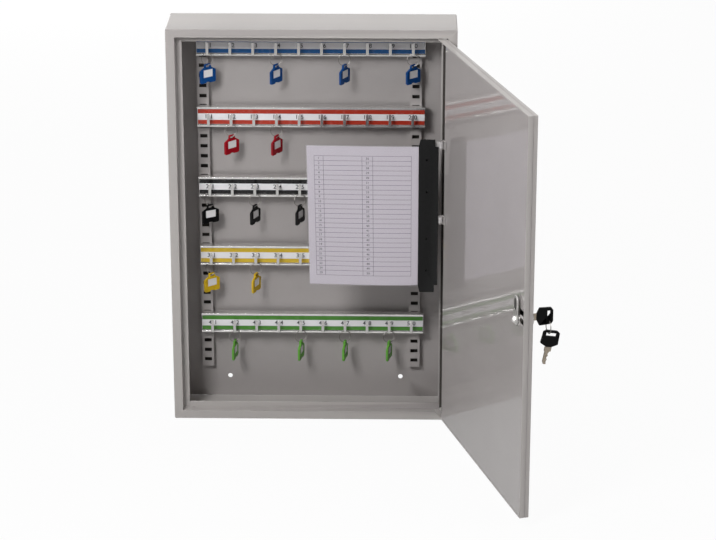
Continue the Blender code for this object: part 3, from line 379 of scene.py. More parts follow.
METAL_GROUP = make_metal_group()
pin_steel = new_material(
    "zinc_plated_pin", METAL_GROUP,
    {"Colour": (0.60, 0.59, 0.57, 1.0), "Roughness": 0.32, "Streak Z": 0.1},
    Metallic=1.0)
for end in ("top", "bottom"):
    pin = soften(merged("hinge_pin_" + end), PIN_EDGE)
    put("hinge_pivot_" + end, pin, pin_steel, "root", ["hinge_pin_" + end])


# Hook bars
# Roll-formed strips of plated steel, with a lip above and below that holds the label and a
# lug at each end that hangs in a rail. Their satin face catches the light along each lip.
BAR_NAMES = ("blue", "red", "black", "yellow", "green")
BAR_EDGE = 0.00050
BAR_EDGE_STEPS = 3
bar_steel = new_material(
    "rolled_bar_steel", METAL_GROUP,
    {"Colour": (0.70, 0.69, 0.68, 1.0), "Roughness": 0.20, "Cloudiness": 0.04, "Scratches": 0.02,
     "Streak X": 0.01, "Concave shade": 0.25},
    Metallic=0.85)
for name in BAR_NAMES:
    strip = soften(merged("bar_" + name), BAR_EDGE, BAR_EDGE_STEPS)
    put("hook_bar_" + name, strip, bar_steel, "bar_" + name, ["bar_" + name])


# Labels
# A glossy printed strip slides in behind each bar's lips: a line of the bar's colour above
# and below a white one, and on the white one the hooks' numbers, one digit each side of a hook.
LABEL_WHITE_LOW = -0.0043
LABEL_WHITE_HIGH = 0.0047
LABEL_EDGE = 0.0001
LABEL_WHITE = (0.78, 0.77, 0.79, 1.0)
LABEL_COLOURS = {
    "blue": (0.005, 0.075, 0.240, 1.0),
    "red": (0.400, 0.035, 0.018, 1.0),
    "black": (0.006, 0.006, 0.007, 1.0),
    "yellow": (0.600, 0.410, 0.030, 1.0),
    "green": (0.065, 0.230, 0.032, 1.0),
}
DUST_COLOUR = (0.42, 0.42, 0.42, 1.0)
DUST = 0.03
PRINT_GLOSS_CHANGE = 0.15
PRINT_WAVE = 0.25
HOOKS_PER_BAR = 10
HOOK_WIDTH = 0.0038
DIGIT_HEIGHT = 0.0060
DIGIT_DEPTH = 0.00003
DIGIT_OFFSET = 0.0038
DIGIT_CURVE_STEPS = 3
TYPE_SIZE_SHARE = 1.37
TYPE_WEIGHT_SHARE = 0.02


def make_print_group():
    """Smooth printed plastic or card: even colour with the faintest mottle and dust."""
    group, given, out = new_group(
        "Printed strip",
        {"Colour": (0.5, 0.5, 0.5, 1.0), "Line colour": (0.5, 0.5, 0.5, 1.0), "Middle": 0.0,
         "Half width": 0.005, "Roughness": 0.2},
        {"Color": "Color", "Roughness": "Float", "Normal": "Vector"})
    place = add(group, "TexCoord").outputs["Object"]
    height = add(group, "SeparateXYZ", {0: place}).outputs["Z"]
    distance = math_node(group, "ABSOLUTE", math_node(group, "SUBTRACT", height, given["Middle"]))
    line = math_node(group, "GREATER_THAN", distance, given["Half width"])
    mottle = noise(group, place, scale=160.0, detail=3.0)
    waves = noise(group, place, scale=22.0, detail=1.0)
    both = mix(group, line, given["Colour"], given["Line colour"])
    dull = times(group, between(group, mottle, low=0.45, high=0.75), DUST)
    change = times(group, between(group, mottle, low=0.4, high=0.7), PRINT_GLOSS_CHANGE)
    feed(group, out, {
        "Color": mix(group, dull, both, DUST_COLOUR),
        "Roughness": math_node(group, "ADD", given["Roughness"], change),
        "Normal": bump(group, waves, PRINT_WAVE, distance=0.0006)})
    return group


PRINT_GROUP = make_print_group()


def plain_print(name, colour, roughness, **sockets):
    """A smooth printed finish of one colour."""
    values = {"Colour": colour, "Line colour": colour, "Roughness": roughness}
    return new_material(name, PRINT_GROUP, values, **sockets)


def finished_mesh(item):
    """A mesh of an object as its bevel or its modifiers leave it."""
    solid = item.evaluated_get(bpy.context.evaluated_depsgraph_get())
    return bpy.data.meshes.new_from_object(solid)


def digit_meshes():
    """Upright digits 0 to 9 as meshes, centred on the origin and facing -Y."""
    glyphs = []
    for digit in range(10):
        curve = bpy.data.curves.new("digit", "FONT")
        curve.body = str(digit)
        curve.size = DIGIT_HEIGHT * TYPE_SIZE_SHARE
        curve.offset = DIGIT_HEIGHT * TYPE_WEIGHT_SHARE
        curve.extrude = DIGIT_DEPTH
        curve.resolution_u = DIGIT_CURVE_STEPS
        curve.align_x = "CENTER"
        curve.align_y = "CENTER"
        text = new_object("digit", curve)
        glyph = finished_mesh(text)
        glyph.transform(Matrix.Rotation(math.pi / 2, 4, "X"))
        glyphs.append(glyph)
        bpy.data.objects.remove(text, do_unlink=True)
    return glyphs


def add_mesh(shape, mesh, matrix):
    """Add a moved copy of a mesh to a shape."""
    known = set(shape.verts)
    shape.from_mesh(mesh)
    fresh = [vert for vert in shape.verts if vert not in known]
    bmesh.ops.transform(shape, matrix=matrix, verts=fresh)


ink = plain_print("printing_ink", (0.035, 0.034, 0.040, 1.0), 0.35)
digits = digit_meshes()
hooks_low, hooks_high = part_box("hooks_blue")
first_hook = hooks_low.x + HOOK_WIDTH
hook_pitch = (hooks_high.x - hooks_low.x - 2 * HOOK_WIDTH) / (HOOKS_PER_BAR - 1)
for row, name in enumerate(BAR_NAMES):
    bar_low, bar_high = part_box("bar_" + name)
    middle = (bar_low.z + bar_high.z) / 2 + (LABEL_WHITE_LOW + LABEL_WHITE_HIGH) / 2
    label_look = new_material(
        "label_" + name + "_print", PRINT_GROUP,
        {"Colour": LABEL_WHITE, "Line colour": LABEL_COLOURS[name], "Middle": middle,
         "Half width": (LABEL_WHITE_HIGH - LABEL_WHITE_LOW) / 2, "Roughness": 0.16},
        Specular_IOR_Level=0.25, Coat_Weight=0.08, Coat_Roughness=0.08)
    label = soften(merged("label_" + name), LABEL_EDGE, 1)
    put("label_strip_" + name, label, label_look, "bar_" + name, ["label_" + name])
    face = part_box("label_" + name)[0].y - DIGIT_DEPTH
    numbers = bmesh.new()
    for column in range(HOOKS_PER_BAR):
        number = row * HOOKS_PER_BAR + column + 1
        hook = first_hook + hook_pitch * column
        right = Matrix.Translation((hook + DIGIT_OFFSET, face, middle))
        left = Matrix.Translation((hook - DIGIT_OFFSET, face, middle))
        add_mesh(numbers, digits[number % 10], right)
        if number >= 10:
            add_mesh(numbers, digits[number // 10], left)
    put("hook_numbers_" + name, numbers, ink, "bar_" + name)


# Hooks
# Flat hooks pressed from nickel-plated strip, rooted behind the label and turned up in
# front of it with round tips. Their plating is a little darker than the bars' steel.
HOOK_EDGE = 0.00018
hook_steel = new_material(
    "plated_hook_steel", METAL_GROUP,
    {"Colour": (0.56, 0.55, 0.54, 1.0), "Roughness": 0.16, "Cloudiness": 0.08, "Scratches": 0.05,
     "Concave shade": 0.35},
    Metallic=0.9)
for name in BAR_NAMES:
    comb = soften(merged("hooks_" + name), HOOK_EDGE)
    put("hook_row_" + name, comb, hook_steel, "bar_" + name, ["hooks_" + name])


# Key tags
# Each tag is a moulded plastic case with a window over a paper slip on both faces, hung by
# its eye on a split ring of two turns of flat steel wire.
TAG_WIDTH = 0.0250
TAG_LENGTH = 0.0262
TAG_THICKNESS = 0.0030
TAG_EDGE = 0.00045
TAG_EYE_WIDTH = 0.0070
TAG_EYE_HEIGHT = 0.0032
TAG_EYE_RIM = 0.0016
TAG_EYE_CORNER = 0.0010
TAG_EYE_STEPS = 3
TAG_SHOULDER_DROP = 0.0041
TAG_WINDOW_WIDTH = 0.0150
TAG_WINDOW_HEIGHT = 0.0105
TAG_WINDOW_DEPTH = 0.0006
TAG_NOTCH_WIDTH = 0.0060
TAG_NOTCH_HEIGHT = 0.0014
SLIP_MARGIN = 0.0002
SLIP_THICKNESS = 0.0002
RING_DIAMETER = 0.0170
RING_WIRE = 0.0009
RING_WIRE_SIDES = 8
RING_TURNS = 2
RING_STEPS = 40
RING_PITCH = 0.0003
RING_LIFT = 0.00018
TAG_TWIST = math.radians(52.0)
TAG_MORE_TWIST = {"green": math.radians(7.0)}
# Each tag's hook, counted from the left, and how many degrees its ring is turned on it.
TAG_HOOKS = {
    "blue": ((1, -12), (4, 4), (7, 10), (10, -8)),
    "red": ((2, -6), (4, 8)),
    "black": ((1, -20), (3, 12), (5, 15)),
    "yellow": ((1, -12), (3, 16)),
    "green": ((2, 20), (5, 18), (7, 20), (9, 17)),
}
TAG_COLOURS = {
    "blue": (0.005, 0.060, 0.230, 1.0),
    "red": (0.330, 0.006, 0.014, 1.0),
    "black": (0.002, 0.002, 0.0025, 1.0),
    "yellow": (0.640, 0.420, 0.020, 1.0),
    "green": (0.120, 0.370, 0.045, 1.0),
}
SCUFF_COLOUR = (0.75, 0.75, 0.75, 1.0)
FLOW_SHADE = 0.25
FLOW_GLOSS_CHANGE = 0.12
ORIGIN = (0.0, 0.0, 0.0)
Y_AXIS = (0.0, 1.0, 0.0)


def make_plastic_group():
    """Moulded plastic: faint flow marks, fine grain and scuffed edges."""
    group, given, out = new_group(
        "Moulded plastic",
        {"Colour": (0.5, 0.5, 0.5, 1.0), "Roughness": 0.3, "Grain": 0.1, "Scuff": 0.15},
        {"Color": "Color", "Roughness": "Float", "Normal": "Vector"})
    place = add(group, "TexCoord").outputs["Object"]
    flow = noise(group, place, scale=120.0, detail=3.0, distortion=0.6)
    grain = noise(group, place, scale=1500.0, detail=2.0)
    deeper = mix(group, FLOW_SHADE, given["Colour"], BLACK)
    base = mix(group, between(group, flow, low=0.45, high=0.8), given["Colour"], deeper)
    worn = times(group, between(group, pointiness(group), low=0.53, high=0.62), given["Scuff"])
    change = times(group, between(group, flow, low=0.3, high=0.7), FLOW_GLOSS_CHANGE)
    feed(group, out, {
        "Color": mix(group, worn, base, SCUFF_COLOUR),
        "Roughness": math_node(group, "ADD", given["Roughness"], change),
        "Normal": bump(group, grain, given["Grain"], distance=0.00008)})
    return group


PLASTIC_GROUP = make_plastic_group()


def plate(outline, low, high):
    """A flat plate with an outline in X and Z, from one Y to another."""
    shape = bmesh.new()
    face = shape.faces.new([shape.verts.new((across, low, up)) for across, up in outline])
    grown = bmesh.ops.extrude_face_region(shape, geom=[face])["geom"]
    moved = [item for item in grown if isinstance(item, bmesh.types.BMVert)]
    bmesh.ops.translate(shape, verts=moved, vec=(0.0, high - low, 0.0))
    bmesh.ops.recalc_face_normals(shape, faces=shape.faces)
    return shape


def block(low, high):
    """A box between two corners."""
    shape = bmesh.new()
    low, high = Vector(low), Vector(high)
    size = Matrix.Diagonal((*(high - low), 1.0))
    bmesh.ops.create_cube(shape, size=1.0, matrix=Matrix.Translation((low + high) / 2) @ size)
    return shape


def carve(shape, cutters):
    """Cut several shapes out of one, and give the result as a new shape."""
    made = [new_object("carving", as_mesh("carving", item)) for item in (shape, *cutters)]
    for cutter in made[1:]:
        step = made[0].modifiers.new("Cut", "BOOLEAN")
        step.operation = "DIFFERENCE"
        step.solver = "EXACT"
        step.object = cutter
    result = bmesh.new()
    result.from_mesh(finished_mesh(made[0]))
    for item in made:
        bpy.data.objects.remove(item, do_unlink=True)
    bmesh.ops.remove_doubles(result, verts=result.verts, dist=WELD)
    return result


def split_ring(diameter, wire, pitch):
    """A coil of flat wire round the Y axis, centred on the origin."""
    shape = bmesh.new()
    middle = diameter / 2 - wire / 2
    bmesh.ops.create_circle(shape, cap_ends=False, segments=RING_WIRE_SIDES, radius=wire / 2)
    bmesh.ops.scale(shape, verts=shape.verts, vec=(1.0, pitch / wire, 1.0))
    bmesh.ops.translate(shape, verts=shape.verts, vec=(middle, -pitch * RING_TURNS / 2, 0.0))
    bmesh.ops.spin(shape, geom=shape.verts[:] + shape.edges[:], axis=Y_AXIS, cent=ORIGIN,
                   dvec=(0.0, pitch / RING_STEPS, 0.0), angle=2 * math.pi * RING_TURNS,
                   steps=RING_STEPS * RING_TURNS)
    ends = [edge for edge in shape.edges if edge.is_boundary]
    bmesh.ops.holes_fill(shape, edges=ends, sides=0)
    bmesh.ops.recalc_face_normals(shape, faces=shape.faces)
    return shape


def tag_side(eye_top):
    """The right half of a tag's outline, from the foot up."""
    half = TAG_WIDTH / 2
    eye = TAG_EYE_WIDTH / 2 + TAG_EYE_RIM
    neck = eye_top - TAG_EYE_HEIGHT - TAG_EYE_RIM
    foot = eye_top - TAG_LENGTH
    return [
        (TAG_NOTCH_WIDTH / 2, foot + TAG_NOTCH_HEIGHT),
        (TAG_NOTCH_WIDTH / 2, foot),
        (half - TAG_EYE_RIM, foot),
        (half, foot + TAG_EYE_RIM),
        (half, neck - TAG_SHOULDER_DROP),
        (eye, neck),
        (eye, eye_top - TAG_EYE_RIM),
        (eye - TAG_EYE_RIM, eye_top),
    ]


def in_window(side, thickness, window, margin=0.0):
    """A box that stands on the floor of a tag's window, on one side of the tag."""
    floor = side * (TAG_THICKNESS / 2 - TAG_WINDOW_DEPTH)
    top = floor + side * thickness
    low, high = window
    half = TAG_WINDOW_WIDTH / 2 - margin
    return block((-half, min(floor, top), low + margin), (half, max(floor, top), high - margin))


ring_radius = (RING_DIAMETER - RING_WIRE) / 2
ring_middle = RING_LIFT + RING_WIRE / 2 - ring_radius
eye_seat = ring_middle - ring_radius + RING_WIRE / 2
window_top = eye_seat - TAG_EYE_HEIGHT - 2 * TAG_EYE_RIM
window_span = (window_top - TAG_WINDOW_HEIGHT, window_top)
right_side = tag_side(eye_seat + TAG_EYE_RIM)
left_side = [(-across, up) for across, up in reversed(right_side)]
case = soften(plate(right_side + left_side, -TAG_THICKNESS / 2, TAG_THICKNESS / 2), TAG_EDGE)
eye_hole = soften(block((-TAG_EYE_WIDTH / 2, -TAG_THICKNESS, eye_seat - TAG_EYE_HEIGHT),
                        (TAG_EYE_WIDTH / 2, TAG_THICKNESS, eye_seat)), TAG_EYE_CORNER, TAG_EYE_STEPS)
windows = [in_window(side, TAG_THICKNESS, window_span) for side in (-1, 1)]
slips = bmesh.new()
for side in (-1, 1):
    slip = in_window(side, SLIP_THICKNESS, window_span, SLIP_MARGIN)
    slips.from_mesh(as_mesh("slip", slip))
case_mesh = as_mesh("tag_case", carve(case, [eye_hole, *windows]))
slips_mesh = as_mesh("tag_slips", slips)
ring_mesh = as_mesh("tag_ring", split_ring(RING_DIAMETER, RING_WIRE, RING_PITCH))

slip_paper = plain_print("tag_paper", (0.80, 0.79, 0.80, 1.0), 0.30,
                         Coat_Weight=0.6, Coat_Roughness=0.10)
ring_steel = new_material(
    "ring_wire", METAL_GROUP,
    {"Colour": (0.21, 0.20, 0.19, 1.0), "Roughness": 0.22, "Concave shade": 0.4},
    Metallic=1.0)
hinges = {joint["name"]: Vector(joint["pos_m"]) for joint in frame["joints"] if "pos_m" in joint}
for name, hooks in TAG_HOOKS.items():
    plastic = new_material(
        "tag_plastic_" + name, PLASTIC_GROUP,
        {"Colour": TAG_COLOURS[name], "Roughness": 0.25, "Grain": 0.08, "Scuff": 0.02},
        Specular_IOR_Level=0.08, Coat_Weight=0.02, Coat_Roughness=0.15)
    hung = Matrix.Rotation(TAG_TWIST + TAG_MORE_TWIST.get(name, 0.0), 4, "Z")
    loop = Matrix.Translation((0.0, 0.0, ring_middle))
    for number, turn in hooks:
        node = "tag_%s_%d" % (name, number)
        turned = Matrix.Rotation(math.radians(turn), 4, "Z")
        pivot = Matrix.Translation(hinges["swing_" + node]) @ turned
        parts = (("tag_case", case_mesh, plastic, hung, [node]),
                 ("tag_slips", slips_mesh, slip_paper, hung, []),
                 ("tag_ring", ring_mesh, ring_steel, loop, []))
        for kind, mesh, look, place, stands_for in parts:
            shape = bmesh.new()
            add_mesh(shape, mesh, pivot @ place)
            put("%s_%s_%d" % (kind, name, number), shape, look, node, stands_for)


# Door skin
# The outer sheet of the door, folded in along the top, the bottom and the free edge. A fine
# seam runs along the folds. Its inner face, which the liner covers, is painted dark as painted shade.
OPEN_ANGLE = math.radians(107.07)
SKIN_OUTER = -0.0032
SKIN_SHEET = 0.0010
SEAM_FROM_OUTER = 0.0056
SEAM_HALF_WIDTH = 0.0005
SEAM_DEPTH = 0.00085
door_place = Matrix.Translation(hinges["door_hinge"]) @ Matrix.Rotation(OPEN_ANGLE, 4, "Z")
to_door = door_place.inverted()
inward = (door_place.to_3x3() @ Vector(Y_AXIS)).normalized()

skin = merged("door_skin")
for level in (-SEAM_HALF_WIDTH, 0.0, SEAM_HALF_WIDTH):
    point = door_place @ Vector((0.0, SKIN_OUTER + SEAM_FROM_OUTER + level, 0.0))
    split(skin, skin.faces[:], point, inward)
half_height = max(vert.co.z for vert in skin.verts)
free_edge = min((to_door @ vert.co).x for vert in skin.verts)
sunk = []
for vert in skin.verts:
    local = to_door @ vert.co
    on_seam = abs(local.y - SKIN_OUTER - SEAM_FROM_OUTER) < SEAM_HALF_WIDTH / 2
    outside = half_height - abs(local.z) < SKIN_SHEET / 2 or local.x - free_edge < SKIN_SHEET / 2
    if on_seam and outside:
        sunk.append(vert)
for vert in sunk:
    vert.co -= vert.normal * SEAM_DEPTH
# The skin's inner face takes the painted shade.
for face in skin.faces:
    depth = (to_door @ face.calc_center_median()).y - SKIN_OUTER
    if face.normal.dot(inward) > FACING_COSINE and depth < 2 * SKIN_SHEET:
        face.material_index = SECOND_LOOK
put("door_outer_sheet", skin, grey_coat, "door", ["door_skin"], shade_coat)


# Door liner
# A shallow pan spot welded inside the skin. Its coat flowed out glossy, so it mirrors the
# bars; two square windows and the lock's hole are punched at its free edge.
LINER_EDGE = 0.0003
glossy_coat = new_material(
    "glossy_powder_coat", COAT_GROUP,
    {"Colour": COAT_COLOUR, "Clouding": 0.30, "Peel": 0.08, "Edge": 0.0, "Roughness": 0.40,
     "Wave": 0.12, "Gloss change": 0.04},
    Specular_IOR_Level=0.2, Coat_Weight=1.0, Coat_Roughness=0.045, Coat_IOR=1.55)
liner = soften(merged("door_liner"), LINER_EDGE)
put("door_inner_sheet", liner, glossy_coat, "door", ["door_liner"])


# Cam lock
# A bright nickel-plated barrel is clamped in the door by a nut. Its plug carries the cam, a
# plated tongue with a pressed hollow, which a dome-headed screw holds.
BARREL_EDGE = 0.0003
NUT_EDGE = 0.0004
PLUG_EDGE = 0.00015
CAM_EDGE = 0.0004
CAM_HOLLOW_UP = 0.0200
CAM_HOLLOW_LENGTH = 0.0150
CAM_HOLLOW_WIDTH = 0.0075
CAM_HOLLOW_DEPTH = 0.0008
CAM_HOLLOW_STEPS = 8
SCREW_STEPS = 24
# Points up the screw's head, as shares of its radius and of its height.
SCREW_DOME_SHARES = (
    (0.0, 1.0), (0.30, 0.96), (0.58, 0.82), (0.80, 0.60), (0.93, 0.34), (0.93, 0.22),
    (1.0, 0.20), (1.0, 0.02), (0.0, 0.0),
)
lock_chrome = new_material(
    "bright_nickel", METAL_GROUP,
    {"Colour": (0.80, 0.79, 0.77, 1.0), "Roughness": 0.16, "Cloudiness": 0.06, "Scratches": 0.06,
     "Concave shade": 0.4},
    Metallic=1.0)
cam_steel = new_material(
    "plated_cam_steel", METAL_GROUP,
    {"Colour": (0.52, 0.51, 0.50, 1.0), "Roughness": 0.30, "Cloudiness": 0.12, "Scratches": 0.15,
     "Concave shade": 0.3},
    Metallic=0.9)
# The cam's pressed hollow is coloured dark as painted shade.
cam_hollow_shade = new_material(
    "cam_hollow_painted_shade", METAL_GROUP,
    {"Colour": (0.10, 0.10, 0.098, 1.0), "Roughness": 0.35, "Cloudiness": 0.2, "Scratches": 0.2,
     "Concave shade": 0.5},
    Metallic=0.8)
lock_place = Matrix.Translation(hinges["lock_turn"]) @ Matrix.Rotation(OPEN_ANGLE, 4, "Z")
to_lock = lock_place.inverted()


def lathe(profile, steps, matrix):
    """A closed solid turned about Z from points of radius and height."""
    shape = bmesh.new()
    verts = [shape.verts.new((radius, 0.0, height)) for radius, height in profile]
    edges = [shape.edges.new(pair) for pair in zip(verts, verts[1:])]
    bmesh.ops.spin(shape, geom=verts + edges, axis=Z_AXIS, cent=ORIGIN, angle=2 * math.pi,
                   steps=steps, use_merge=True)
    bmesh.ops.remove_doubles(shape, verts=shape.verts, dist=WELD)
    bmesh.ops.transform(shape, matrix=matrix, verts=shape.verts)
    bmesh.ops.recalc_face_normals(shape, faces=shape.faces)
    return shape


def obround(width, length, steps):
    """Outline of a slot with round ends, upright and centred on the origin."""
    radius = width / 2
    straight = length / 2 - radius
    points = []
    for end in (1, -1):
        for step in range(steps + 1):
            turn = math.pi * step / steps
            rise = straight + radius * math.sin(turn)
            points.append((end * radius * math.cos(turn), end * rise))
    return points


def lock_box(node):
    """A node's box in the lock's own axes: across, along its axis inward, and up."""
    points = [to_lock @ vert.co for vert in frame["nodes"][node].data.vertices]
    return [Vector([pick(point[axis] for point in points) for axis in range(3)])
            for pick in (min, max)]


barrel = soften(merged("lock_barrel"), BARREL_EDGE)
put("lock_housing", barrel, lock_chrome, "door", ["lock_barrel"])
nut = soften(merged("lock_nut"), NUT_EDGE)
put("lock_clamp_nut", nut, cam_steel, "door", ["lock_nut"])
plug = soften(merged("lock_plug"), PLUG_EDGE, 1)
put("lock_core", plug, lock_chrome, "lock", ["lock_plug"])
cam_low, cam_high = (corner.y for corner in lock_box("cam"))
hollow = plate(obround(CAM_HOLLOW_WIDTH, CAM_HOLLOW_LENGTH, CAM_HOLLOW_STEPS),
               cam_high - CAM_HOLLOW_DEPTH, cam_high + CAM_HOLLOW_DEPTH)
raised = Matrix.Translation((0.0, 0.0, CAM_HOLLOW_UP))
bmesh.ops.transform(hollow, matrix=lock_place @ raised, verts=hollow.verts)
cam = carve(soften(merged("cam"), CAM_EDGE), [hollow])
# Faces inside the hollow take the dark steel, as painted shade.
for face in cam.faces:
    middle = to_lock @ face.calc_center_median()
    in_depth = cam_low + CAM_HOLLOW_DEPTH < middle.y < cam_high - WELD
    in_width = abs(middle.x) < CAM_HOLLOW_WIDTH / 2 + WELD
    if in_depth and in_width and abs(middle.z - CAM_HOLLOW_UP) < CAM_HOLLOW_LENGTH / 2 + WELD:
        face.material_index = SECOND_LOOK
put("lock_cam", cam, cam_steel, "lock", ["cam"], cam_hollow_shade)
screw_far = lock_box("cam_screw")[1]
dome = [(screw_far.x * out, cam_high + WELD + (screw_far.y - cam_high) * up)
        for out, up in SCREW_DOME_SHARES]
stood = lock_place @ Matrix.Rotation(-math.pi / 2, 4, "X")
screw = lathe(dome, SCREW_STEPS, stood)
put("lock_cam_screw", screw, lock_chrome, "lock", ["cam_screw"])


# Keys
# Each key is a milled nickel-silver blade in a black moulded bow with a slot for the ring.
# One key is in the lock and the spare hangs from it on a ring of wire.
BOW_RIM = 0.0011
BOW_RECESS = 0.0003
BOW_EDGE = 0.0004
GROOVE_RIM = 0.0009
GROOVE_DEPTH = 0.0003
WIDE_FACE_COSINE = 0.98
key_metal = new_material(
    "key_nickel_silver", METAL_GROUP,
    {"Colour": (0.36, 0.31, 0.25, 1.0), "Roughness": 0.22, "Cloudiness": 0.2, "Scratches": 0.35,
     "Concave shade": 0.8},
    Metallic=0.95)
bow_plastic = new_material(
    "key_bow_plastic", PLASTIC_GROUP,
    {"Colour": (0.0015, 0.0015, 0.0018, 1.0), "Roughness": 0.30, "Grain": 0.3, "Scuff": 0.01},
    Specular_IOR_Level=0.12)


def sink_sides(shape, rim, depth):
    """Sink both wide faces of a thin flat piece inside a rim."""
    shape.normal_update()
    widest = max(shape.faces, key=lambda face: face.calc_area()).normal.copy()
    for side in (1, -1):
        wide = [face for face in shape.faces if face.normal.dot(widest) * side > WIDE_FACE_COSINE]
        bmesh.ops.inset_region(shape, faces=wide, thickness=rim, depth=-depth, use_even_offset=True)
    return shape


for key in ("key", "spare_key"):
    blade = sink_sides(merged(key + "_blade"), GROOVE_RIM, GROOVE_DEPTH)
    put(key + "_cut_blade", blade, key_metal, key, [key + "_blade"])
    bow = soften(sink_sides(merged(key + "_bow"), BOW_RIM, BOW_RECESS), BOW_EDGE)
    put(key + "_moulded_bow", bow, bow_plastic, key, [key + "_bow"])
put("key_ring_wire", merged("key_ring"), ring_steel, "key_ring", ["key_ring"])


# Key index
# A clear pocket with a printed page is gripped by a black plastic spine with four dimples.
# White eyes on the spine turn on the pins of two grey clips on the door's inner sheet.
SPINE_EDGE = 0.0006
SPINE_EDGE_STEPS = 3
CLIP_EDGE = 0.0002
DIMPLE_RADIUS = 0.0018
DIMPLE_DEPTH = 0.0018
DIMPLE_FLOOR_SHARE = 0.7
DIMPLE_STEPS = 12
DIMPLE_ACROSS = 0.1515
DIMPLE_HEIGHTS = (0.1082, 0.0642, -0.0013, -0.0459)
SHEET_COLUMNS = 24
SHEET_ROWS = 30
SHEET_LEAN = 0.0036
SHEET_BOW = 0.0026
SHEET_BOW_ACROSS = 1.6
SHEET_BOW_FADE = 1.5
SHEET_CURL = 0.0030
PAGE_MARGIN = 0.0012
PAGE_HALF = 0.0001
FILM_HALF = 0.0004
TABLE_COLUMNS = (0.0104, 0.0221, 0.0718, 0.0856, 0.1352)
TABLE_ROWS = 25
TABLE_PITCH = 0.00665
TABLE_TOP = 0.0144
TABLE_OVERRUN = 0.0002
TABLE_NUMBER_HEIGHT = 0.0030
TABLE_NUMBER_SPACING = 0.72
TABLE_NUMBER_STANDOFF = 0.00013
FIBRE_COLOUR = (0.45, 0.44, 0.47, 1.0)
FIBRE_SHADE = 0.05
FIBRE_BUMP = 0.1
spine_plastic = new_material(
    "index_spine_plastic", PLASTIC_GROUP,
    {"Colour": (0.006, 0.006, 0.0062, 1.0), "Roughness": 0.45, "Grain": 0.5, "Scuff": 0.01},
    Specular_IOR_Level=0.12)
white_plastic = new_material(
    "white_clip_plastic", PLASTIC_GROUP,
    {"Colour": (0.50, 0.48, 0.48, 1.0), "Roughness": 0.35, "Grain": 0.1, "Scuff": 0.0})
grey_plastic = new_material(
    "grey_clip_plastic", PLASTIC_GROUP,
    {"Colour": (0.34, 0.32, 0.315, 1.0), "Roughness": 0.35, "Grain": 0.1, "Scuff": 0.0})
spine_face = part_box("index_spine")[0].y
dimple_spots = [(DIMPLE_ACROSS, up) for up in DIMPLE_HEIGHTS]
pit = ((0.0, 0.0), (DIMPLE_RADIUS * DIMPLE_FLOOR_SHARE, 0.0), (DIMPLE_RADIUS, 2 * DIMPLE_DEPTH),
       (0.0, 2 * DIMPLE_DEPTH))
dimples = []
for across, up in dimple_spots:
    spot = Matrix.Translation((across, spine_face + DIMPLE_DEPTH, up))
    dimples.append(lathe(pit, DIMPLE_STEPS, spot @ Matrix.Rotation(math.pi / 2, 4, "X")))
spine = carve(soften(merged("index_spine"), SPINE_EDGE, SPINE_EDGE_STEPS), dimples)
# Faces inside the dimples take the blacker bow plastic, as painted shade.
for face in spine.faces:
    middle = face.calc_center_median()
    deep = spine_face + DIMPLE_DEPTH / 4 < middle.y < spine_face + DIMPLE_DEPTH + WELD
    if deep and any(math.dist((middle.x, middle.z), spot) < DIMPLE_RADIUS for spot in dimple_spots):
        face.material_index = SECOND_LOOK
put("index_spine_strip", spine, spine_plastic, "index", ["index_spine"], bow_plastic)
for end in ("low", "high"):
    eye = soften(merged("index_eye_" + end), CLIP_EDGE)
    put("index_eye_tab_" + end, eye, white_plastic, "index", ["index_eye_" + end])
    clip = soften(merged("index_clip_" + end), CLIP_EDGE)
    put("index_clip_foot_" + end, clip, grey_plastic, "door", ["index_clip_" + end])


def near(tree, value, place, reach):
    """1 where a value lies within a reach of a place, else 0."""
    gap = math_node(tree, "ABSOLUTE", math_node(tree, "SUBTRACT", value, place))
    return math_node(tree, "LESS_THAN", gap, reach)


def make_table_group(height):
    """A ruled table on paper, laid out in the sheet's own UV map in metres."""
    group, given, out = new_group(
        "Ruled table",
        {"Paper": (0.56, 0.52, 0.58, 1.0), "Ink": (0.05, 0.04, 0.06, 1.0), "Strength": 0.85,
         "Line width": 0.0005, "Roughness": 0.4},
        {"Color": "Color", "Roughness": "Float", "Normal": "Vector"})
    where = add(group, "SeparateXYZ", {0: add(group, "UVMap", uv_map="sheet").outputs[0]})
    across = where.outputs["X"]
    down = math_node(group, "SUBTRACT", height - TABLE_TOP, where.outputs["Y"])
    half = times(group, given["Line width"], 0.5)
    row = math_node(group, "ROUND", math_node(group, "DIVIDE", down, TABLE_PITCH))
    marks = near(group, down, times(group, row, TABLE_PITCH), half)
    for place in TABLE_COLUMNS:
        marks = math_node(group, "MAXIMUM", marks, near(group, across, place, half))
    limits = (("GREATER_THAN", across, TABLE_COLUMNS[0] - TABLE_OVERRUN),
              ("LESS_THAN", across, TABLE_COLUMNS[-1] + TABLE_OVERRUN),
              ("GREATER_THAN", down, -TABLE_OVERRUN),
              ("LESS_THAN", down, TABLE_ROWS * TABLE_PITCH + TABLE_OVERRUN))
    for operation, value, limit in limits:
        marks = times(group, marks, math_node(group, operation, value, limit))
    marks = times(group, marks, given["Strength"])
    fibres = noise(group, add(group, "TexCoord").outputs["Object"], scale=900.0, detail=3.0)
    shade = times(group, between(group, fibres, low=0.4, high=0.7), FIBRE_SHADE)
    paper = mix(group, shade, given["Paper"], FIBRE_COLOUR)
    feed(group, out, {
        "Color": mix(group, marks, paper, given["Ink"]),
        "Roughness": given["Roughness"],
        "Normal": bump(group, fibres, FIBRE_BUMP, distance=0.00004)})
    return group


leaf_low, leaf_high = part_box("index_pocket")
leaf_size = leaf_high - leaf_low
page_paper = new_material(
    "index_page_paper", make_table_group(leaf_size.z), {"Roughness": 0.45}, Specular_IOR_Level=0.3)
film = plain_print("index_pocket_film", (0.66, 0.64, 0.68, 1.0), 0.06, Alpha=0.16)


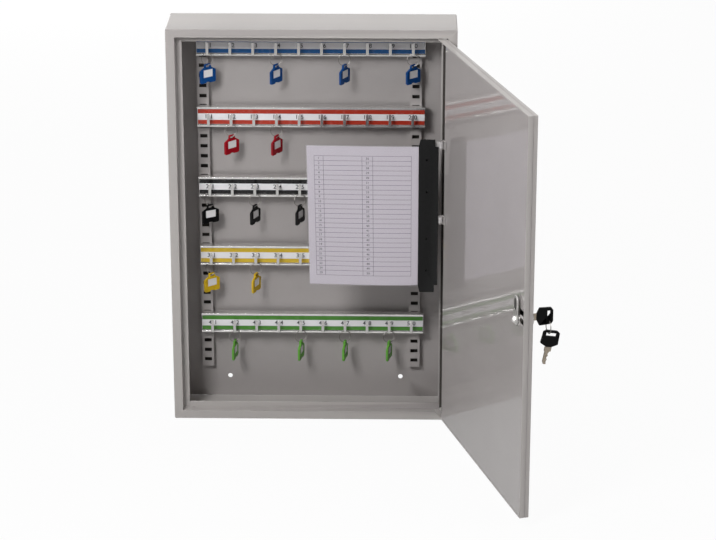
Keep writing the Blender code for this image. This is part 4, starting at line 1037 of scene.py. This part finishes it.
def leaf_point(across, up, off):
    """A point of the bowed leaf: metres from its free edge and its foot, and off its face."""
    share = across / leaf_size.x
    height = up / leaf_size.z
    fade = (1.0 - height) ** SHEET_BOW_FADE
    bow = SHEET_BOW * math.sin(math.pi * share ** SHEET_BOW_ACROSS) * fade
    curl = SHEET_CURL * (1.0 - share) ** 2
    x = leaf_low.x + across - SHEET_LEAN * height * (1.0 - share)
    y = (leaf_low.y + leaf_high.y) / 2 - bow + curl - off
    return Vector((x, y, leaf_low.z + up))


def leaf_sheet(margin, half):
    """A closed thin sheet along the leaf, with a UV map in metres: a grid drawn out and bent."""
    shape = bmesh.new()
    sheet_uv = shape.loops.layers.uv.new("sheet")
    bmesh.ops.create_grid(shape, x_segments=SHEET_COLUMNS, y_segments=SHEET_ROWS, size=0.5)
    grown = bmesh.ops.extrude_face_region(shape, geom=shape.faces[:])["geom"]
    back = {item for item in grown if isinstance(item, bmesh.types.BMVert)}
    places = {}
    for vert in shape.verts:
        across = margin + (leaf_size.x - 2 * margin) * (vert.co.x + 0.5)
        up = margin + (leaf_size.z - 2 * margin) * (vert.co.y + 0.5)
        places[vert] = (across, up)
        vert.co = leaf_point(across, up, -half if vert in back else half)
    bmesh.ops.recalc_face_normals(shape, faces=shape.faces)
    for face in shape.faces:
        for loop in face.loops:
            loop[sheet_uv].uv = places[loop.vert]
    return shape


page = leaf_sheet(PAGE_MARGIN, PAGE_HALF)
put("index_printed_page", page, page_paper, "index", ["index_page"])
pocket = leaf_sheet(0.0, FILM_HALF)
put("index_film_pocket", pocket, film, "index", ["index_pocket"])
entries = bmesh.new()
shrink = Matrix.Scale(TABLE_NUMBER_HEIGHT / DIGIT_HEIGHT, 4)
for column, sides in enumerate((TABLE_COLUMNS[0:2], TABLE_COLUMNS[2:4])):
    for row in range(TABLE_ROWS):
        up = leaf_size.z - TABLE_TOP - TABLE_PITCH * (row + 0.5)
        glyphs = str(column * TABLE_ROWS + row + 1)
        for index, glyph in enumerate(glyphs):
            step = (index - (len(glyphs) - 1) / 2) * TABLE_NUMBER_HEIGHT * TABLE_NUMBER_SPACING
            spot = leaf_point(sum(sides) / 2 + step, up, TABLE_NUMBER_STANDOFF)
            add_mesh(entries, digits[int(glyph)], Matrix.Translation(spot) @ shrink)
put("index_row_numbers", entries, ink, "index")


# Floor, light and camera
# A pale floor under the cabinet, a soft lamp high on the left, wide weak ones above, behind
# and on the right, a card that only gloss mirrors, and a camera at the photo's viewpoint.
FLOOR_DROP = 0.0005
FLOOR_HALF = 6.0
FLOOR_COLOUR = (0.60, 0.60, 0.60, 1.0)
FLOOR_ROUGHNESS = 0.9
FLOOR_WHITE = 0.95
FLOOR_MIRRORED = 0.25
AMBIENT_COLOUR = (1.0, 0.99, 0.98, 1.0)
AMBIENT_STRENGTH = 0.20
IMAGE_WIDTH = 716
SENSOR_WIDTH = 36.0
CAMERA_PLACE = (0.1188, -3.4255, 1.1896)
CAMERA_DOWN = math.radians(20.436)
CAMERA_LEFT = math.radians(0.994)
FOCAL_PIXELS = 2665.8


def background_rays(tree, straight, mirrored):
    """How white the background is to each ray: seen straight or through film, or mirrored."""
    rays = add(tree, "LightPath").outputs
    seen = math_node(tree, "MAXIMUM", rays["Is Camera Ray"], rays["Is Transmission Ray"])
    plain = times(tree, seen, straight)
    return math_node(tree, "MAXIMUM", plain, times(tree, rays["Is Glossy Ray"], mirrored))


def blend(tree, factor, first, second, output):
    """Mix two shaders and send the result to a tree's output node."""
    inputs = {0: factor, 1: first.outputs[0], 2: second.outputs[0]}
    tree.links.new(add(tree, "MixShader", inputs).outputs[0], tree.nodes[output].inputs["Surface"])


floor_material = bpy.data.materials.new("pale_floor")
floor_material.use_nodes = True
ground_tree = floor_material.node_tree
floor_shader = ground_tree.nodes["Principled BSDF"]
floor_shader.inputs["Base Color"].default_value = FLOOR_COLOUR
floor_shader.inputs["Roughness"].default_value = FLOOR_ROUGHNESS
glow = add(ground_tree, "Emission", {"Color": WHITE, "Strength": 1.0})
floor_rays = background_rays(ground_tree, FLOOR_WHITE, FLOOR_MIRRORED)
blend(ground_tree, floor_rays, floor_shader, glow, "Material Output")
floor_shape = bmesh.new()
bmesh.ops.create_grid(floor_shape, x_segments=1, y_segments=1, size=FLOOR_HALF)
bmesh.ops.translate(floor_shape, verts=floor_shape.verts, vec=(0.0, 0.0, cad_low.z - FLOOR_DROP))
floor_mesh = as_mesh("floor", floor_shape)
floor_mesh.materials.append(floor_material)
new_object("floor", floor_mesh)

world = bpy.data.worlds.new("studio")
bpy.context.scene.world = world
world.use_nodes = True
sky = world.node_tree
ambient = sky.nodes["Background"]
ambient.inputs["Color"].default_value = AMBIENT_COLOUR
ambient.inputs["Strength"].default_value = AMBIENT_STRENGTH
white = add(sky, "Background", {"Color": WHITE, "Strength": 1.0})
blend(sky, background_rays(sky, 1.0, 1.0), ambient, white, "World Output")


def add_lamp(name, place, target, width, height, power):
    """A soft lamp aimed at a point."""
    lamp = bpy.data.lights.new(name, "AREA")
    lamp.shape = "RECTANGLE"
    lamp.size = width
    lamp.size_y = height
    lamp.energy = power
    holder = new_object(name, lamp)
    holder.location = place
    holder.rotation_mode = "QUATERNION"
    holder.rotation_quaternion = (Vector(target) - Vector(place)).to_track_quat("-Z", "Y")
    return holder


add_lamp("key_lamp", place=(-0.58, -1.24, 0.97), target=ORIGIN, width=0.42, height=0.42, power=17.2)
add_lamp("top_lamp", place=(-0.15, -0.15, 1.80), target=(0.0, -0.1, 0.0), width=1.1, height=1.1,
         power=9.0)
add_lamp("fill_lamp", place=(2.4, -0.9, 1.3), target=(0.2, 0.0, 0.0), width=1.5, height=1.5, power=31.0)
add_lamp("rear_lamp", place=(-0.4, 2.6, 0.2), target=ORIGIN, width=1.6, height=0.8, power=26.0)
card = add_lamp("reflected_card", place=(-2.1, -2.8, 0.7), target=(0.1, -0.2, 0.0), width=0.9,
                height=2.4, power=120.0)
card.visible_diffuse = False

camera_data = bpy.data.cameras.new("camera")
camera_data.sensor_width = SENSOR_WIDTH
camera_data.lens = FOCAL_PIXELS * SENSOR_WIDTH / IMAGE_WIDTH
camera = new_object("camera", camera_data)
camera.location = CAMERA_PLACE
camera.rotation_euler = (math.pi / 2 - CAMERA_DOWN, 0.0, CAMERA_LEFT)
bpy.context.scene.camera = camera
bpy.context.scene.view_settings.view_transform = "Standard"
